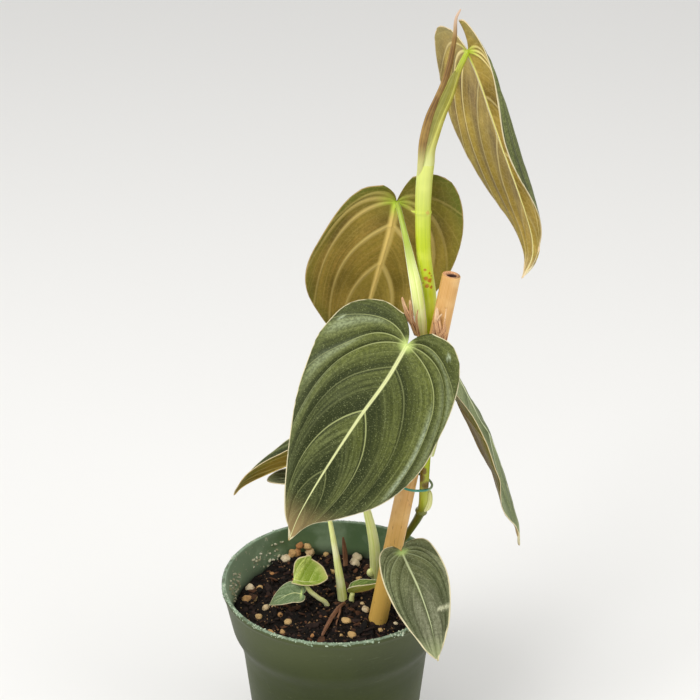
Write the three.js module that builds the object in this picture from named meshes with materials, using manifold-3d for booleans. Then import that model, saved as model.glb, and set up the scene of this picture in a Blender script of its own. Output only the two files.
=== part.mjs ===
// A potted philodendron melanochrysum: a young climber with velvety heart-shaped leaves, tied to a bamboo stake in
// a round nursery pot. Millimetres, +Z up, the origin at the centre of the pot's underside, the front towards -Y.
import * as THREE from 'three';
import { mergeVertices } from 'three/addons/utils/BufferGeometryUtils.js';
import Module from 'manifold-3d';

const wasm = await Module();
wasm.setup();

// Driving dimensions
const potHeight = 95;
const rimRadius = 52.3;
const lipRadius = 53;
const lipHeight = 2;
const collarDepth = 23;
const collarFootRadius = 48.4;
const shoulderDepth = 36;
const shoulderRadius = 43.8;
const baseRadius = 38;
const footRound = 1.5;
const potSides = 60;
const potWall = 1.2;
const potFloor = 1.6;
const drainHoles = 8;
const drainHoleSize = [9, 8, 9];
const soilLevel = 77;
const stakeFoot = [9.8, -1.6, 12];
const stakeTop = [48.9, -17.4, 253.5];
const stakeRadii = [4.7, 3.9];
const stakeBore = { radius: 1.8, depth: 34 };
const bladeThickness = 0.7;
const usualRows = 14;
const ridgeTaper = 0.8;
const fitGap = 0.3;

// Basic helpers
const radians = THREE.MathUtils.degToRad;
const { lerp, clamp } = THREE.MathUtils;

function curveThrough(points, closed = false) {
  const vectors = points.map(([x, y, z]) => new THREE.Vector3(x, y, z));
  return new THREE.CatmullRomCurve3(vectors, closed, 'catmullrom', 0.5);
}

function geometryFrom(positions, triangles) {
  const geometry = new THREE.BufferGeometry();
  geometry.setAttribute('position', new THREE.Float32BufferAttribute(positions, 3));
  geometry.setIndex(triangles);
  return geometry;
}

// One vertex per place, no collapsed triangles, and the faces pointing out
function tidySolid(geometry) {
  geometry.deleteAttribute('normal');
  geometry.deleteAttribute('uv');
  const merged = mergeVertices(geometry, 1e-4);
  const position = merged.getAttribute('position');
  const index = merged.getIndex().array;
  const corner = (i) => new THREE.Vector3().fromBufferAttribute(position, i);
  const kept = [];
  let volume = 0;
  for (let i = 0; i < index.length; i += 3) {
    const [a, b, c] = index.slice(i, i + 3);
    if (a === b || b === c || c === a) continue;
    kept.push([a, b, c]);
    volume += corner(a).dot(corner(b).cross(corner(c)));
  }
  const outward = volume > 0 ? kept : kept.map(([a, b, c]) => [a, c, b]);
  merged.setIndex(outward.flat());
  return merged;
}

function toManifold(geometry) {
  const solid = tidySolid(geometry);
  const vertProperties = new Float32Array(solid.getAttribute('position').array);
  const triVerts = new Uint32Array(solid.getIndex().array);
  return new wasm.Manifold(new wasm.Mesh({ numProp: 3, vertProperties, triVerts }));
}

function toGeometry(manifold) {
  const { vertProperties, triVerts } = manifold.getMesh();
  return geometryFrom(vertProperties, Array.from(triVerts));
}

// The biggest piece that is left of a solid once the others are cut away
function cutAway(solid, others) {
  const rest = others.reduce((left, other) => left.subtract(other), solid);
  return rest.decompose().reduce((best, piece) => (piece.volume() > best.volume() ? piece : best));
}

const plant = new THREE.Group();

function addPiece(name, manifold, color, roughness = 0.6) {
  const material = new THREE.MeshStandardMaterial({ color, roughness, metalness: 0 });
  const mesh = new THREE.Mesh(toGeometry(manifold), material);
  mesh.name = name;
  plant.add(mesh);
}

// A tapered shoot. Each entry of its route is x, y, z, half its width and, where it is flat, half its depth along
// `facing`. A ring is a swollen node: its place along the route and how far it swells. `grow` makes the whole thicker.
function shoot({ route, facing = [0, -1, 0], sides = 10, step = 6, rings = [] }, grow = 0) {
  const ringHalfWidth = 0.9;
  const path = curveThrough(route);
  const girth = curveThrough(route.map(([, , , wide, deep = wide]) => [wide, deep, 0]));
  const length = path.getLength();
  const count = Math.max(4, Math.round(length / step));
  const stations = Array.from({ length: count + 1 }, (_, i) => i / count);
  for (const { at } of rings) stations.push(at - ringHalfWidth / length, at, at + ringHalfWidth / length);
  stations.sort((a, b) => a - b);
  const toViewer = new THREE.Vector3(...facing);
  const positions = [];
  const triangles = [];
  stations.forEach((at, row) => {
    const centre = path.getPoint(at);
    const along = path.getTangent(at);
    const across = new THREE.Vector3().crossVectors(toViewer, along).normalize();
    const outward = new THREE.Vector3().crossVectors(along, across);
    const size = girth.getPoint(at);
    const swell = rings.reduce((most, ring) => (ring.at === at ? ring.swell : most), 0);
    if (row === 0) centre.addScaledVector(along, -grow);
    if (row === stations.length - 1) centre.addScaledVector(along, grow);
    for (let side = 0; side < sides; side += 1) {
      const angle = (2 * Math.PI * side) / sides;
      const place = centre.clone();
      place.addScaledVector(across, (size.x + swell + grow) * Math.cos(angle));
      place.addScaledVector(outward, (size.y + swell + grow) * Math.sin(angle));
      positions.push(...place);
      if (row === 0) continue;
      const here = row * sides + side;
      const next = row * sides + ((side + 1) % sides);
      triangles.push(here - sides, next - sides, next, here - sides, next, here);
    }
  });
  const last = (stations.length - 1) * sides;
  for (let side = 1; side < sides - 1; side += 1) {
    triangles.push(0, side + 1, side, last, last + side, last + side + 1);
  }
  return toManifold(geometryFrom(positions, triangles));
}

// A blade is a flat outline bent about its midrib. Flat places are x across and y along, in blade lengths, with the
// stalk's joint at 0, 0 and the tip at 0, 1. Rows run along the veins, which leave the joint or the midrib and sweep
// forward to the edge, so that the blade can be quilted between them.
const veinSpaces = 7;
const fanEnd = 3 / veinSpaces;
const usualFirstVein = 172;
const lastVein = 30;
const veinReach = 0.5;
const edgeCrowding = 1.9;
const rootCrowding = 1.2;
const usualHalfWidth = 0.385;
const heartOutline = [[0.09, -0.12], [0.21, -0.11], [0.32, -0.02], [0.37, 0.2], [0.335, 0.43], [0.225, 0.67],
  [0.1, 0.86], [0.035, 0.95], [0, 1]];
const bluntOutline = [[0.07, -0.1], [0.2, -0.08], [0.28, 0.15], [0.28, 0.5], [0.2, 0.8], [0.08, 0.97], [0, 1]];
const roundOutline = [[0.08, -0.06], [0.19, -0.07], [0.27, 0.12], [0.28, 0.5], [0.24, 0.82], [0.12, 0.98], [0, 1]];
const columns = [0, 0.1, 0.35, 0.6, 0.82, 1];

function flatPlace({ outline, firstVein, width }, row, column) {
  const sweep = 1 - (1 - row) ** edgeCrowding;
  const edge = outline.getPointAt(sweep);
  const root = new THREE.Vector3(0, clamp((row - fanEnd) / (1 - fanEnd), 0, 1) ** rootCrowding, 0);
  const angle = radians(lerp(lastVein, firstVein, 1 - sweep));
  const reach = veinReach * root.distanceTo(edge);
  const bend = new THREE.Vector3(Math.sin(angle), Math.cos(angle), 0).multiplyScalar(reach).add(root);
  const place = new THREE.QuadraticBezierCurve3(root, bend, edge).getPoint(column);
  place.x *= width;
  return place;
}

// Where a flat place of the blade lies in space. `side` is 1 for the right half and -1 for the left half, as seen on
// the upper face with the tip down. Fold lifts a half at the midrib, roll bends it further towards its edge.
function bentPlace(leaf, length, side, flat, relief) {
  const { midrib, faces, halves } = leaf;
  const at = clamp(flat.y, 0, 1);
  const origin = midrib.getPointAt(at);
  const along = midrib.getTangentAt(at);
  const normal = faces.getPoint(at);
  normal.addScaledVector(along, -normal.dot(along)).normalize();
  const across = new THREE.Vector3().crossVectors(normal, along).multiplyScalar(side);
  const { fold, roll } = halves[side];
  const distance = flat.x * length;
  const slope = radians(lerp(fold[0], fold[1], at));
  const leastRoll = 0.01;
  const gain = radians(lerp(roll[0], roll[1], at) || leastRoll) / (usualHalfWidth * length);
  const end = slope + gain * distance;
  origin.addScaledVector(along, Math.min(flat.y, 0) * length);
  origin.addScaledVector(across, (Math.sin(end) - Math.sin(slope)) / gain);
  origin.addScaledVector(normal, (Math.cos(slope) - Math.cos(end)) / gain + relief);
  return origin;
}

function blade(leaf, grow = 0) {
  const { rows = usualRows, ridge = 0.8, quilt = 0.7 } = leaf;
  const length = leaf.midrib.getLength();
  const places = [];
  const triangles = [];
  for (const side of [1, -1]) {
    const start = places.length;
    for (let r = 0; r <= rows; r += 1) {
      const row = r / rows;
      columns.forEach((column) => {
        const flat = flatPlace(leaf.halves[side], row, column);
        const relief = quilt * Math.sin(Math.PI * veinSpaces * row) ** 2 * Math.sin(Math.PI * column);
        places.push({
          mid: bentPlace(leaf, length, side, flat, relief),
          ridge: column === 0 ? ridge * (1 - ridgeTaper * row) : 0,
        });
      });
    }
    const across = columns.length;
    for (let r = 0; r < rows; r += 1) {
      for (let c = 0; c < across - 1; c += 1) {
        const a = start + r * across + c;
        const corners = [[a, a + 1, a + across + 1], [a, a + across + 1, a + across]];
        triangles.push(...(side < 0 ? corners : corners.map(([i, j, k]) => [i, k, j])));
      }
    }
  }
  return thicken(places, triangles, bladeThickness / 2 + grow);
}

// The sheet's two faces, split into triangles alike, and a wall round its edge
function thicken(places, triangles, half) {
  const shared = new Map();
  const keys = places.map(({ mid }) => mid.toArray().map((value) => Math.round(value * 1e3)).join(' '));
  keys.forEach((key, i) => shared.has(key) || shared.set(key, i));
  const sheet = triangles
    .map((corners) => corners.map((i) => shared.get(keys[i])))
    .filter(([a, b, c]) => a !== b && b !== c && c !== a);
  const normals = places.map(() => new THREE.Vector3());
  const edges = new Map();
  for (const [a, b, c] of sheet) {
    const first = places[b].mid.clone().sub(places[a].mid);
    const second = places[c].mid.clone().sub(places[a].mid);
    const normal = first.cross(second);
    for (const i of [a, b, c]) normals[i].add(normal);
    for (const [from, to] of [[a, b], [b, c], [c, a]]) edges.set(`${from} ${to}`, [from, to]);
  }
  const positions = [];
  places.forEach(({ mid, ridge }, i) => {
    const normal = normals[i].normalize();
    positions.push(...mid.clone().addScaledVector(normal, half));
    positions.push(...mid.clone().addScaledVector(normal, -half - ridge));
  });
  const faces = [];
  for (const [a, b, c] of sheet) faces.push(2 * a, 2 * b, 2 * c, 2 * a + 1, 2 * c + 1, 2 * b + 1);
  for (const [from, to] of edges.values()) {
    if (edges.has(`${to} ${from}`)) continue;
    faces.push(2 * to, 2 * from, 2 * from + 1, 2 * to, 2 * from + 1, 2 * to + 1);
  }
  return toManifold(geometryFrom(positions, faces));
}

// A leaf from its midrib's route, the way its upper face looks at the joint and at the tip, and its two halves
function leaf({ midrib, faces, right, left, ...rest }) {
  const half = ({ outline = heartOutline, firstVein = usualFirstVein, width = 1, ...bend }) => {
    const points = outline.map(([x, y]) => [x, y, 0]);
    return { outline: curveThrough(points), firstVein, width, ...bend };
  };
  const halves = { 1: half(right), [-1]: half(left) };
  return { midrib: curveThrough(midrib), faces: curveThrough(faces), halves, ...rest };
}

// Pot
function potProfile() {
  const rimTop = potHeight - lipHeight;
  const collarFoot = potHeight - collarDepth;
  const shoulder = potHeight - shoulderDepth;
  const [flareRadius, flareHeight] = [shoulderRadius + 1.6, shoulder + 7];
  const outer = [[baseRadius - footRound, 0], [baseRadius, footRound], [shoulderRadius, shoulder],
    [flareRadius, flareHeight], [collarFootRadius, collarFoot], [rimRadius, rimTop - 1],
    [lipRadius, rimTop], [lipRadius, potHeight]];
  const inner = [[rimRadius - potWall, potHeight], [rimRadius - potWall - 0.3, rimTop - 1],
    [collarFootRadius - potWall, collarFoot], [flareRadius - potWall, flareHeight],
    [shoulderRadius - potWall, shoulder], [baseRadius - potWall, potFloor]];
  return { outer, inner };
}

function pot() {
  const { outer, inner } = potProfile();
  const profile = [[0, 0], ...outer, ...inner, [0, potFloor]].map(([r, z]) => new THREE.Vector2(r, z));
  const body = toManifold(new THREE.LatheGeometry(profile, potSides).rotateX(Math.PI / 2));
  const holes = Array.from({ length: drainHoles }, (_, i) => {
    const hole = new THREE.BoxGeometry(...drainHoleSize).translate(baseRadius - 2, 0, 0);
    return toManifold(hole.rotateZ((2 * Math.PI * (i + 0.5)) / drainHoles));
  });
  return cutAway(body, holes);
}

// Soil: the inside of the pot, filled to a lumpy surface
function soilHeight(x, y) {
  const slope = 0.025 * (y - x);
  const mounds = 0.9 * Math.sin(x / 9 + 1.2) * Math.cos(y / 11 + 0.4);
  const crumbs = 0.7 * Math.sin(x / 2.9 + y / 4.1) * Math.cos(y / 3.3 - x / 5.3);
  const pile = 3 * Math.exp(-((x + 21) ** 2 + (y - 43) ** 2) / 160);
  return soilLevel + slope + mounds + crumbs + pile;
}

function soilBody() {
  const segments = 48;
  const { inner } = potProfile();
  const wallPoints = inner.slice(2).map(([r, z]) => [r - fitGap, z]);
  const edgeRadius = collarFootRadius - potWall;
  const rings = [4, 9, 14, 19, 24, 29, 34, 39, 44, edgeRadius].map((r) => [r, null]);
  const foot = potFloor + fitGap;
  const sideRings = wallPoints.map(([r, z]) => [r, Math.max(z, foot)]);
  const all = [...rings, ...sideRings];
  const positions = [0, 0, soilHeight(0, 0)];
  const triangles = [];
  all.forEach(([r, z], ring) => {
    for (let s = 0; s < segments; s += 1) {
      const angle = (2 * Math.PI * s) / segments;
      const [x, y] = [r * Math.cos(angle), r * Math.sin(angle)];
      positions.push(x, y, z ?? soilHeight(x, y));
      const here = 1 + ring * segments + s;
      const next = 1 + ring * segments + ((s + 1) % segments);
      if (ring === 0) triangles.push(0, here, next);
      else triangles.push(here - segments, here, next, here - segments, next, next - segments);
    }
  });
  const centre = positions.length / 3;
  const last = centre - segments;
  positions.push(0, 0, foot);
  for (let s = 0; s < segments; s += 1) triangles.push(centre, last + ((s + 1) % segments), last + s);
  return toManifold(geometryFrom(positions, triangles));
}

// Perlite and bark: the grains seen by name in the mix, then a seeded scatter of smaller ones
function grains() {
  let seed = 41;
  const random = () => {
    seed = (seed * 16807) % 2147483647;
    return seed / 2147483647;
  };
  const placed = [[10.5, 42, 3.1], [-24, 40, 2.4], [-16.4, 42, 2.2], [-12, 43, 2.6], [-27, 33, 2.3], [-41, 11, 2.2],
    [-41, 4, 2.4], [-37, -3, 2.1], [-33, -13, 2.2], [-17, -17, 2.2], [13, -10, 2.3], [5, -15, 2.0], [9, -30, 2.1]];
  const scattered = Array.from({ length: 18 }, () => {
    const angle = 2 * Math.PI * random();
    const reach = 44 * Math.sqrt(random());
    return [reach * Math.cos(angle), reach * Math.sin(angle), 1.4 + 0.8 * random()];
  });
  return [...placed, ...scattered].map(([x, y, size]) => {
    const lump = new THREE.IcosahedronGeometry(size, 0).scale(1, 1, 0.8);
    lump.rotateZ(6 * random()).rotateX(0.6 * random());
    return toManifold(lump.translate(x, y, soilHeight(x, y) + 0.15 * size));
  });
}

// Stake: a hollow cane, cut square at both ends
function stake(grow = 0) {
  const foot = new THREE.Vector3(...stakeFoot);
  const axis = new THREE.Vector3(...stakeTop).sub(foot);
  const [low, high] = stakeRadii;
  const length = axis.length();
  const solid = new THREE.CylinderGeometry(high + grow, low + grow, length + 2 * grow, 24);
  const bore = new THREE.CylinderGeometry(stakeBore.radius, stakeBore.radius, 2 * stakeBore.depth, 12);
  bore.translate(0, length / 2, 0);
  const turn = new THREE.Quaternion().setFromUnitVectors(new THREE.Vector3(0, 1, 0), axis.clone().normalize());
  const place = (shape) => toManifold(shape.applyQuaternion(turn).translate(...foot.clone().addScaledVector(axis, 0.5)));
  return grow > 0 ? place(solid) : place(solid).subtract(place(bore));
}

// Tie: a closed loop of wire round the stake and the stem
function tie() {
  const wire = { radius: 0.55, segments: 40, sides: 6 };
  const loop = curveThrough([[27.2, -13.4, 155.4], [28.8, -17.2, 154], [33.2, -18.6, 152.6], [38.4, -16.8, 151.2],
    [42.4, -14.4, 150.8], [43.4, -11.2, 151.6], [40.6, -8, 153.2], [34, -5.8, 155.2], [28.6, -7.4, 156.4]], true);
  return toManifold(new THREE.TubeGeometry(loop, wire.segments, wire.radius, wire.sides, true));
}

// Stems and stalks
const mainStem = {
  route: [[27.5, 28, 52, 1.7], [27.5, 24.4, 78, 1.7], [28.6, 8, 104.9, 1.6], [33.8, 0, 119.4, 1.6],
    [39.2, -7, 135.1, 2], [39.9, -11.6, 148.3, 2], [40.6, -7.4, 168.4, 2.4], [41, -6.5, 189, 2.6],
    [41.5, -6.9, 208.7, 2.9], [41.2, -7.7, 223.3, 3], [40.6, -7.6, 238.5, 3.1], [37.9, -7, 258.4, 3.1],
    [37.2, -6, 276.9, 3.3], [37.4, -5.5, 288.4, 3.4], [38.1, -5, 297.4, 3.4]],
  sides: 12,
  step: 7,
  rings: [{ at: 0.286, swell: 0.8 }, { at: 0.43, swell: 0.4 }, { at: 0.5, swell: 0.5 }, { at: 0.645, swell: 0.5 },
    { at: 0.857, swell: 0.45 }],
};
const stemBud = {
  route: [[40, -7.6, 136, 1.2], [41.6, -9, 139, 2], [42.6, -9.6, 144, 1.5], [42.3, -9.8, 147.6, 0.8]],
  step: 3,
};
const ringSpike = {
  route: [[35.4, -6.8, 277, 0.7], [33.4, -7.4, 277.4, 0.5], [32.2, -7.6, 278, 0.15]],
  sides: 6,
  step: 2,
};

const topPetiole = {
  route: [[38.2, -4.9, 298, 3.4], [38.6, -4.9, 303.1, 3.2], [40.6, -4.6, 309.2, 2.7], [43.7, -4, 317.3, 2.1],
    [47.2, -3.4, 325.4, 1.7], [50.1, -2.8, 334.6, 1.3], [53.2, -2.6, 341.6, 1.1]],
};
const newLeafSheath = {
  route: [[35.6, -8.6, 297.5, 1.2, 0.5], [36.6, -9.2, 308.3, 1.7, 0.8], [38.6, -9.2, 317.4, 1.6, 0.9],
    [41.3, -9, 324.7, 1.2, 0.9], [44.1, -8.4, 331.1, 1.2, 0.9], [46.1, -8, 337.8, 1.2, 0.9],
    [47.4, -7.6, 344.4, 1, 0.8], [48.2, -7.2, 350.4, 0.85, 0.6], [48.4, -7, 356.4, 0.6, 0.4],
    [50.2, -7, 360.4, 0.3, 0.3]],
  sides: 8,
};
const backPetiole = {
  route: [[38, -12.1, 219, 2, 1.2], [36.8, -13.2, 231, 2.5, 1.3], [34.8, -12.8, 245, 2.5, 1.2],
    [32.3, -10.6, 257, 1.9, 1.2], [29.9, -7, 267.2, 1.25], [27.8, -0.5, 275, 1.1], [26.6, 3.5, 277.8, 1]],
};
const frontPetiole = {
  route: [[38.2, -5, 188, 1.9], [34.8, -8.2, 197, 1.8], [31.6, -14, 208, 1.5], [30.2, -21.5, 219, 1.3],
    [30.4, -27.4, 226, 1.2]],
  facing: [1, 0, 0],
};
const rightPetiole = {
  route: [[42.2, -9, 164, 1.8], [45.4, -6, 175, 1.6], [50, 2, 189, 1.3], [53.5, 7.6, 197, 1.1]],
  facing: [1, 0, 0],
};
const leftPetiole = {
  route: [[20.4, 32, 58, 2.4], [19.6, 28, 78, 2.6], [18.5, 24, 99.4, 2.6], [15.1, 22.4, 118.1, 1.9],
    [10.8, 18.6, 136.1, 1.6], [4.7, 14.8, 152, 1.3], [-0.6, 12.4, 161, 1.1]],
};
const leftPetioleKnob = {
  route: [[18.6, 26.4, 79, 1], [16.8, 25.4, 81.4, 1.7], [16.9, 25.2, 84, 0.8]],
  sides: 8,
  step: 2,
};
const smallLeftPetiole = {
  route: [[4.4, 11, 60, 2], [3.4, 8.8, 78, 2.3], [0.8, 10, 98.5, 1.6], [-2.6, 13.4, 119.1, 1.05],
    [-4.4, 14.4, 130, 0.95], [-5.9, 14.1, 137, 0.9]],
};
const lowPetiole = {
  route: [[29.4, 15, 89, 1.3], [32.4, 8, 97, 1.3], [36, -4, 110, 1.2], [36.4, -17, 120, 1.1], [31.4, -24, 124.2, 1]],
  facing: [1, 0, 0],
};
const sproutPetiole = {
  route: [[7.6, 7.4, 76, 1.3], [7.8, 7, 80, 1.2], [8.4, 6.6, 82.6, 1]],
  sides: 8,
  step: 3,
};
const seedlingStem = {
  route: [[-1.6, 5, 64, 1.2], [-3.9, 2.9, 78, 1.2], [-8.1, 1, 83.4, 1.1], [-12, 0.2, 87.8, 1.1], [-14.2, 1, 91.6, 0.9]],
  step: 4,
};
const drySheathLeft = [
  { route: [[35.8, -15.3, 225, 1.3, 0.5], [32.9, -15.9, 232, 1.1, 0.5], [30.2, -16, 238, 0.8, 0.4],
    [28.7, -16, 243, 0.4, 0.35]], step: 4, sides: 6 },
  { route: [[33.4, -15.9, 231, 0.9, 0.45], [32.6, -16.4, 236, 0.8, 0.45], [32, -16.6, 242, 0.4, 0.35]],
    step: 4, sides: 6 },
];
const drySheathRight = [
  { route: [[47, -21.3, 221.5, 0.6, 0.4], [44.8, -21.45, 227.5, 1.5, 0.5], [43.5, -20.9, 234, 1.3, 0.5],
    [43, -21.2, 240.5, 0.4, 0.35]], step: 4, sides: 6 },
];
const dryRoot = {
  route: [[4.6, 4.4, 78.4, 0.8], [1.6, -2, 79.6, 1], [-2, -11, 79.4, 1], [-5.9, -21.6, 77.6, 0.7]],
  facing: [0, 0, 1],
  step: 4,
  sides: 8,
};
const dryStub = {
  route: [[5, 38, 70, 1, 0.7], [4.8, 37, 82, 1.2, 0.7], [4.2, 36, 90, 1, 0.6], [3.6, 35, 96, 0.4, 0.4]],
  sides: 8,
};

// Leaves
const topLeaf = leaf({
  midrib: [[53.9, -2, 342.8], [59.3, 0, 330.7], [66.8, 3, 310.5], [74.6, 6, 290.4], [81.6, 8, 272.2], [85.3, 9, 259.3],
    [85.2, 8, 250.5], [80.9, 5, 243.4]],
  faces: [[0.85, 0.45, 0.3], [0.77, 0.57, 0.2], [0.78, 0.56, 0.1]],
  right: {
    outline: [[0.1, -0.07], [0.21, -0.06], [0.31, 0.02], [0.345, 0.16], [0.325, 0.38], [0.225, 0.65], [0.085, 0.87],
      [0.03, 0.95], [0, 1]],
    firstVein: 150,
    fold: [8, 8],
    roll: [-5, -15],
  },
  left: {
    outline: [[0.02, -0.13], [0.06, -0.12], [0.14, -0.02], [0.23, 0.13], [0.28, 0.3], [0.26, 0.46], [0.17, 0.66],
      [0.04, 0.86], [0.012, 0.95], [0, 1]],
    firstVein: 150,
    width: 0.84,
    fold: [30, 0],
    roll: [-170, -150],
  },
  rows: 21,
});
const backLeaf = leaf({
  midrib: [[26.5, 4.4, 277.9], [23.2, 8, 259.6], [19.2, 13, 243.1], [12.8, 21, 214.7], [7, 25, 194]],
  faces: [[0.02, 0.95, 0.3], [0.05, 0.93, 0.35]],
  right: {
    outline: [[0.08, -0.08], [0.18, -0.05], [0.27, 0.06], [0.34, 0.23], [0.37, 0.4], [0.33, 0.56], [0.22, 0.73],
      [0.09, 0.88], [0.03, 0.95], [0, 1]],
    fold: [-5, -8],
    roll: [-15, -20],
  },
  left: {
    outline: [[0.05, -0.15], [0.14, -0.185], [0.24, -0.16], [0.315, -0.04], [0.345, 0.13], [0.32, 0.34], [0.24, 0.58],
      [0.12, 0.82], [0.035, 0.95], [0, 1]],
    fold: [-5, -8],
    roll: [-15, -20],
  },
  rows: 21,
});
const frontLeaf = leaf({
  midrib: [[30.5, -28.4, 226.5], [21.8, -37, 214.3], [9.9, -44, 199.4], [-4.6, -49, 176.9], [-13.9, -51, 159.9],
    [-18.8, -50, 146.2]],
  faces: [[0, -0.85, 0.53], [0, -0.93, 0.37], [0, -0.97, 0.2]],
  right: {
    outline: [[0.07, -0.1], [0.17, -0.1], [0.255, -0.02], [0.312, 0.15], [0.357, 0.4], [0.31, 0.62], [0.18, 0.79],
      [0.06, 0.9], [0, 1]],
    fold: [-5, -5],
    roll: [-20, -20],
  },
  left: {
    outline: [[0.08, -0.115], [0.2, -0.12], [0.325, -0.03], [0.36, 0.17], [0.28, 0.43], [0.165, 0.67], [0.06, 0.88],
      [0.015, 0.95], [0, 1]],
    fold: [-5, -5],
    roll: [-20, -20],
  },
  rows: 21,
});
const rightLeaf = leaf({
  midrib: [[53.9, 8, 197.5], [60, 10, 184.7], [66, 12, 171.6], [72.4, 14, 159.5], [81.6, 18, 130.3],
    [86.7, 21, 111.4], [88.2, 22, 99.4]],
  faces: [[0.85, -0.1, 0.5], [0.95, -0.1, 0.3]],
  right: {
    outline: [[0.06, -0.06], [0.16, -0.07], [0.24, 0], [0.3, 0.18], [0.31, 0.4], [0.225, 0.67], [0.1, 0.86],
      [0.035, 0.95], [0, 1]],
    firstVein: 150,
    fold: [-12, -8],
    roll: [-10, -10],
  },
  left: {
    outline: [[0.09, -0.12], [0.21, -0.11], [0.32, -0.02], [0.37, 0.2], [0.33, 0.41], [0.19, 0.65], [0.06, 0.85],
      [0.015, 0.95], [0, 1]],
    fold: [-18, -5],
    roll: [62, 0],
  },
});
const leftLeaf = leaf({
  midrib: [[-0.8, 12, 161.4], [-11.4, 12, 153.6], [-23.5, 14, 146.8], [-36.4, 17, 138.8], [-43.7, 19, 132.9],
    [-47.7, 20, 128.1]],
  faces: [[-0.4, 0.25, 0.88], [-0.5, 0.25, 0.85]],
  right: { fold: [27, 27], roll: [10, 10], width: 0.85 },
  left: { fold: [27, 27], roll: [10, 10], width: 0.85 },
});
const smallLeftLeaf = leaf({
  midrib: [[-6, 14, 137.3], [-16.3, 15, 139.4], [-25, 16, 139], [-31.7, 17, 138]],
  faces: [[0, -0.15, 0.98], [0, -0.15, 0.98]],
  right: { outline: bluntOutline, fold: [10, 10], roll: [10, 10] },
  left: { outline: bluntOutline, fold: [10, 10], roll: [10, 10] },
  rows: 7,
  quilt: 0,
  ridge: 0.4,
});
const lowLeaf = leaf({
  midrib: [[30.1, -25, 124.2], [32.6, -31, 121.2], [36.4, -41, 117.4], [39.4, -49, 112.6], [41.9, -55, 106.5],
    [43.5, -60, 99.9], [44.8, -62, 93.1]],
  faces: [[0, -0.5, 0.87], [0, -0.7, 0.7], [0, -0.9, 0.4]],
  right: {
    outline: [[0.07, -0.075], [0.16, -0.07], [0.245, -0.01], [0.28, 0.2], [0.255, 0.43], [0.17, 0.67], [0.075, 0.86],
      [0.025, 0.95], [0, 1]],
    fold: [12, 5],
    roll: [-10, -10],
  },
  left: {
    outline: [[0.06, -0.085], [0.14, -0.075], [0.21, 0], [0.255, 0.2], [0.255, 0.43], [0.195, 0.67], [0.105, 0.86],
      [0.045, 0.95], [0, 1]],
    fold: [12, 5],
    roll: [-10, -10],
  },
  quilt: 0.5,
  ridge: 0.5,
});
const sproutLeaf = leaf({
  midrib: [[8.4, 6.4, 83], [14.6, 5.6, 84.6], [20, 5.6, 87], [24.5, 6, 90]],
  faces: [[-0.3, 0.3, 0.9], [-0.3, 0.3, 0.9]],
  right: { fold: [33, 33], roll: [15, 15] },
  left: { fold: [33, 33], roll: [15, 15] },
  rows: 7,
  quilt: 0,
  ridge: 0.3,
});
const cupLeaf = leaf({
  midrib: [[-19.4, 1, 93.2], [-14.6, 1.4, 91.8], [-8.6, 2, 91.8], [-3.4, 2.4, 94.4]],
  faces: [[0, -0.5, 0.85], [-0.2, -0.5, 0.85]],
  right: { outline: roundOutline, firstVein: 115, fold: [20, 20], roll: [18, 18], width: 2.7 },
  left: { outline: roundOutline, firstVein: 115, fold: [25, 25], roll: [50, 50], width: 1.3 },
  rows: 7,
  quilt: 0,
  ridge: 0.3,
});
const sideLeaf = leaf({
  midrib: [[-15.8, -2.6, 87.8], [-20, -2.4, 88], [-26, -3, 85.3], [-31, -3.4, 82]],
  faces: [[-0.2, -0.36, 0.9], [-0.3, -0.42, 0.85]],
  right: { fold: [8, 8], roll: [10, 10] },
  left: { fold: [8, 8], roll: [10, 10] },
  rows: 7,
  quilt: 0,
  ridge: 0.3,
});

// Pieces
const join = (parts) => parts.map((part) => shoot(part)).reduce((whole, part) => whole.add(part));
const stemSolid = join([mainStem, stemBud, ringSpike]);
const grownStem = shoot(mainStem, fitGap);
const planted = [mainStem, leftPetiole, smallLeftPetiole, sproutPetiole, seedlingStem, dryRoot, dryStub];
const soil = [...grains()].reduce((whole, grain) => whole.add(grain), soilBody());

addPiece('pot', pot(), 0x2f5744, 0.55);
addPiece('potting_soil', cutAway(soil, [...planted.map((part) => shoot(part, fitGap)), stake(fitGap)]), 0x2b2019, 0.95);
addPiece('bamboo_stake', stake(), 0xd0a264, 0.5);
addPiece('plant_tie', tie(), 0x2f8f74, 0.4);
addPiece('main_stem', stemSolid, 0x9fb83c, 0.45);
addPiece('new_leaf_sheath', shoot(newLeafSheath), 0x9a7a62, 0.55);
addPiece('dry_sheath_left', join(drySheathLeft), 0xa37a58, 0.85);
addPiece('dry_sheath_right', join(drySheathRight), 0xb98e63, 0.85);
addPiece('dry_root', shoot(dryRoot), 0x7d5238, 0.85);
addPiece('dry_stub', shoot(dryStub), 0x7a4632, 0.85);

const velvet = 0x3c4f30;
const copper = 0x7d7440;
const youngGreen = 0x7f9c4c;
const stalkGreen = 0xb4c860;
const leaves = {
  top: [topLeaf, topPetiole, copper],
  back: [backLeaf, backPetiole, velvet],
  front: [frontLeaf, frontPetiole, velvet],
  right: [rightLeaf, rightPetiole, velvet],
  left: [leftLeaf, leftPetiole, velvet],
  small_left: [smallLeftLeaf, smallLeftPetiole, velvet],
  low: [lowLeaf, lowPetiole, velvet],
  sprout: [sproutLeaf, sproutPetiole, youngGreen],
  seedling_cup: [cupLeaf, seedlingStem, youngGreen],
};
for (const [name, [shape, stalk, color]] of Object.entries(leaves)) {
  const stalkName = name === 'seedling_cup' ? 'seedling_stem' : `${name}_petiole`;
  const extras = name === 'left' ? [leftPetioleKnob] : [];
  const cutters = [blade(shape, fitGap), grownStem];
  if (name === 'seedling_cup') cutters.push(blade(sideLeaf, fitGap));
  addPiece(stalkName, cutAway(join([stalk, ...extras]), cutters), stalkGreen, 0.5);
  addPiece(`${name}_blade`, blade(shape), color, 0.8);
}
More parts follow.
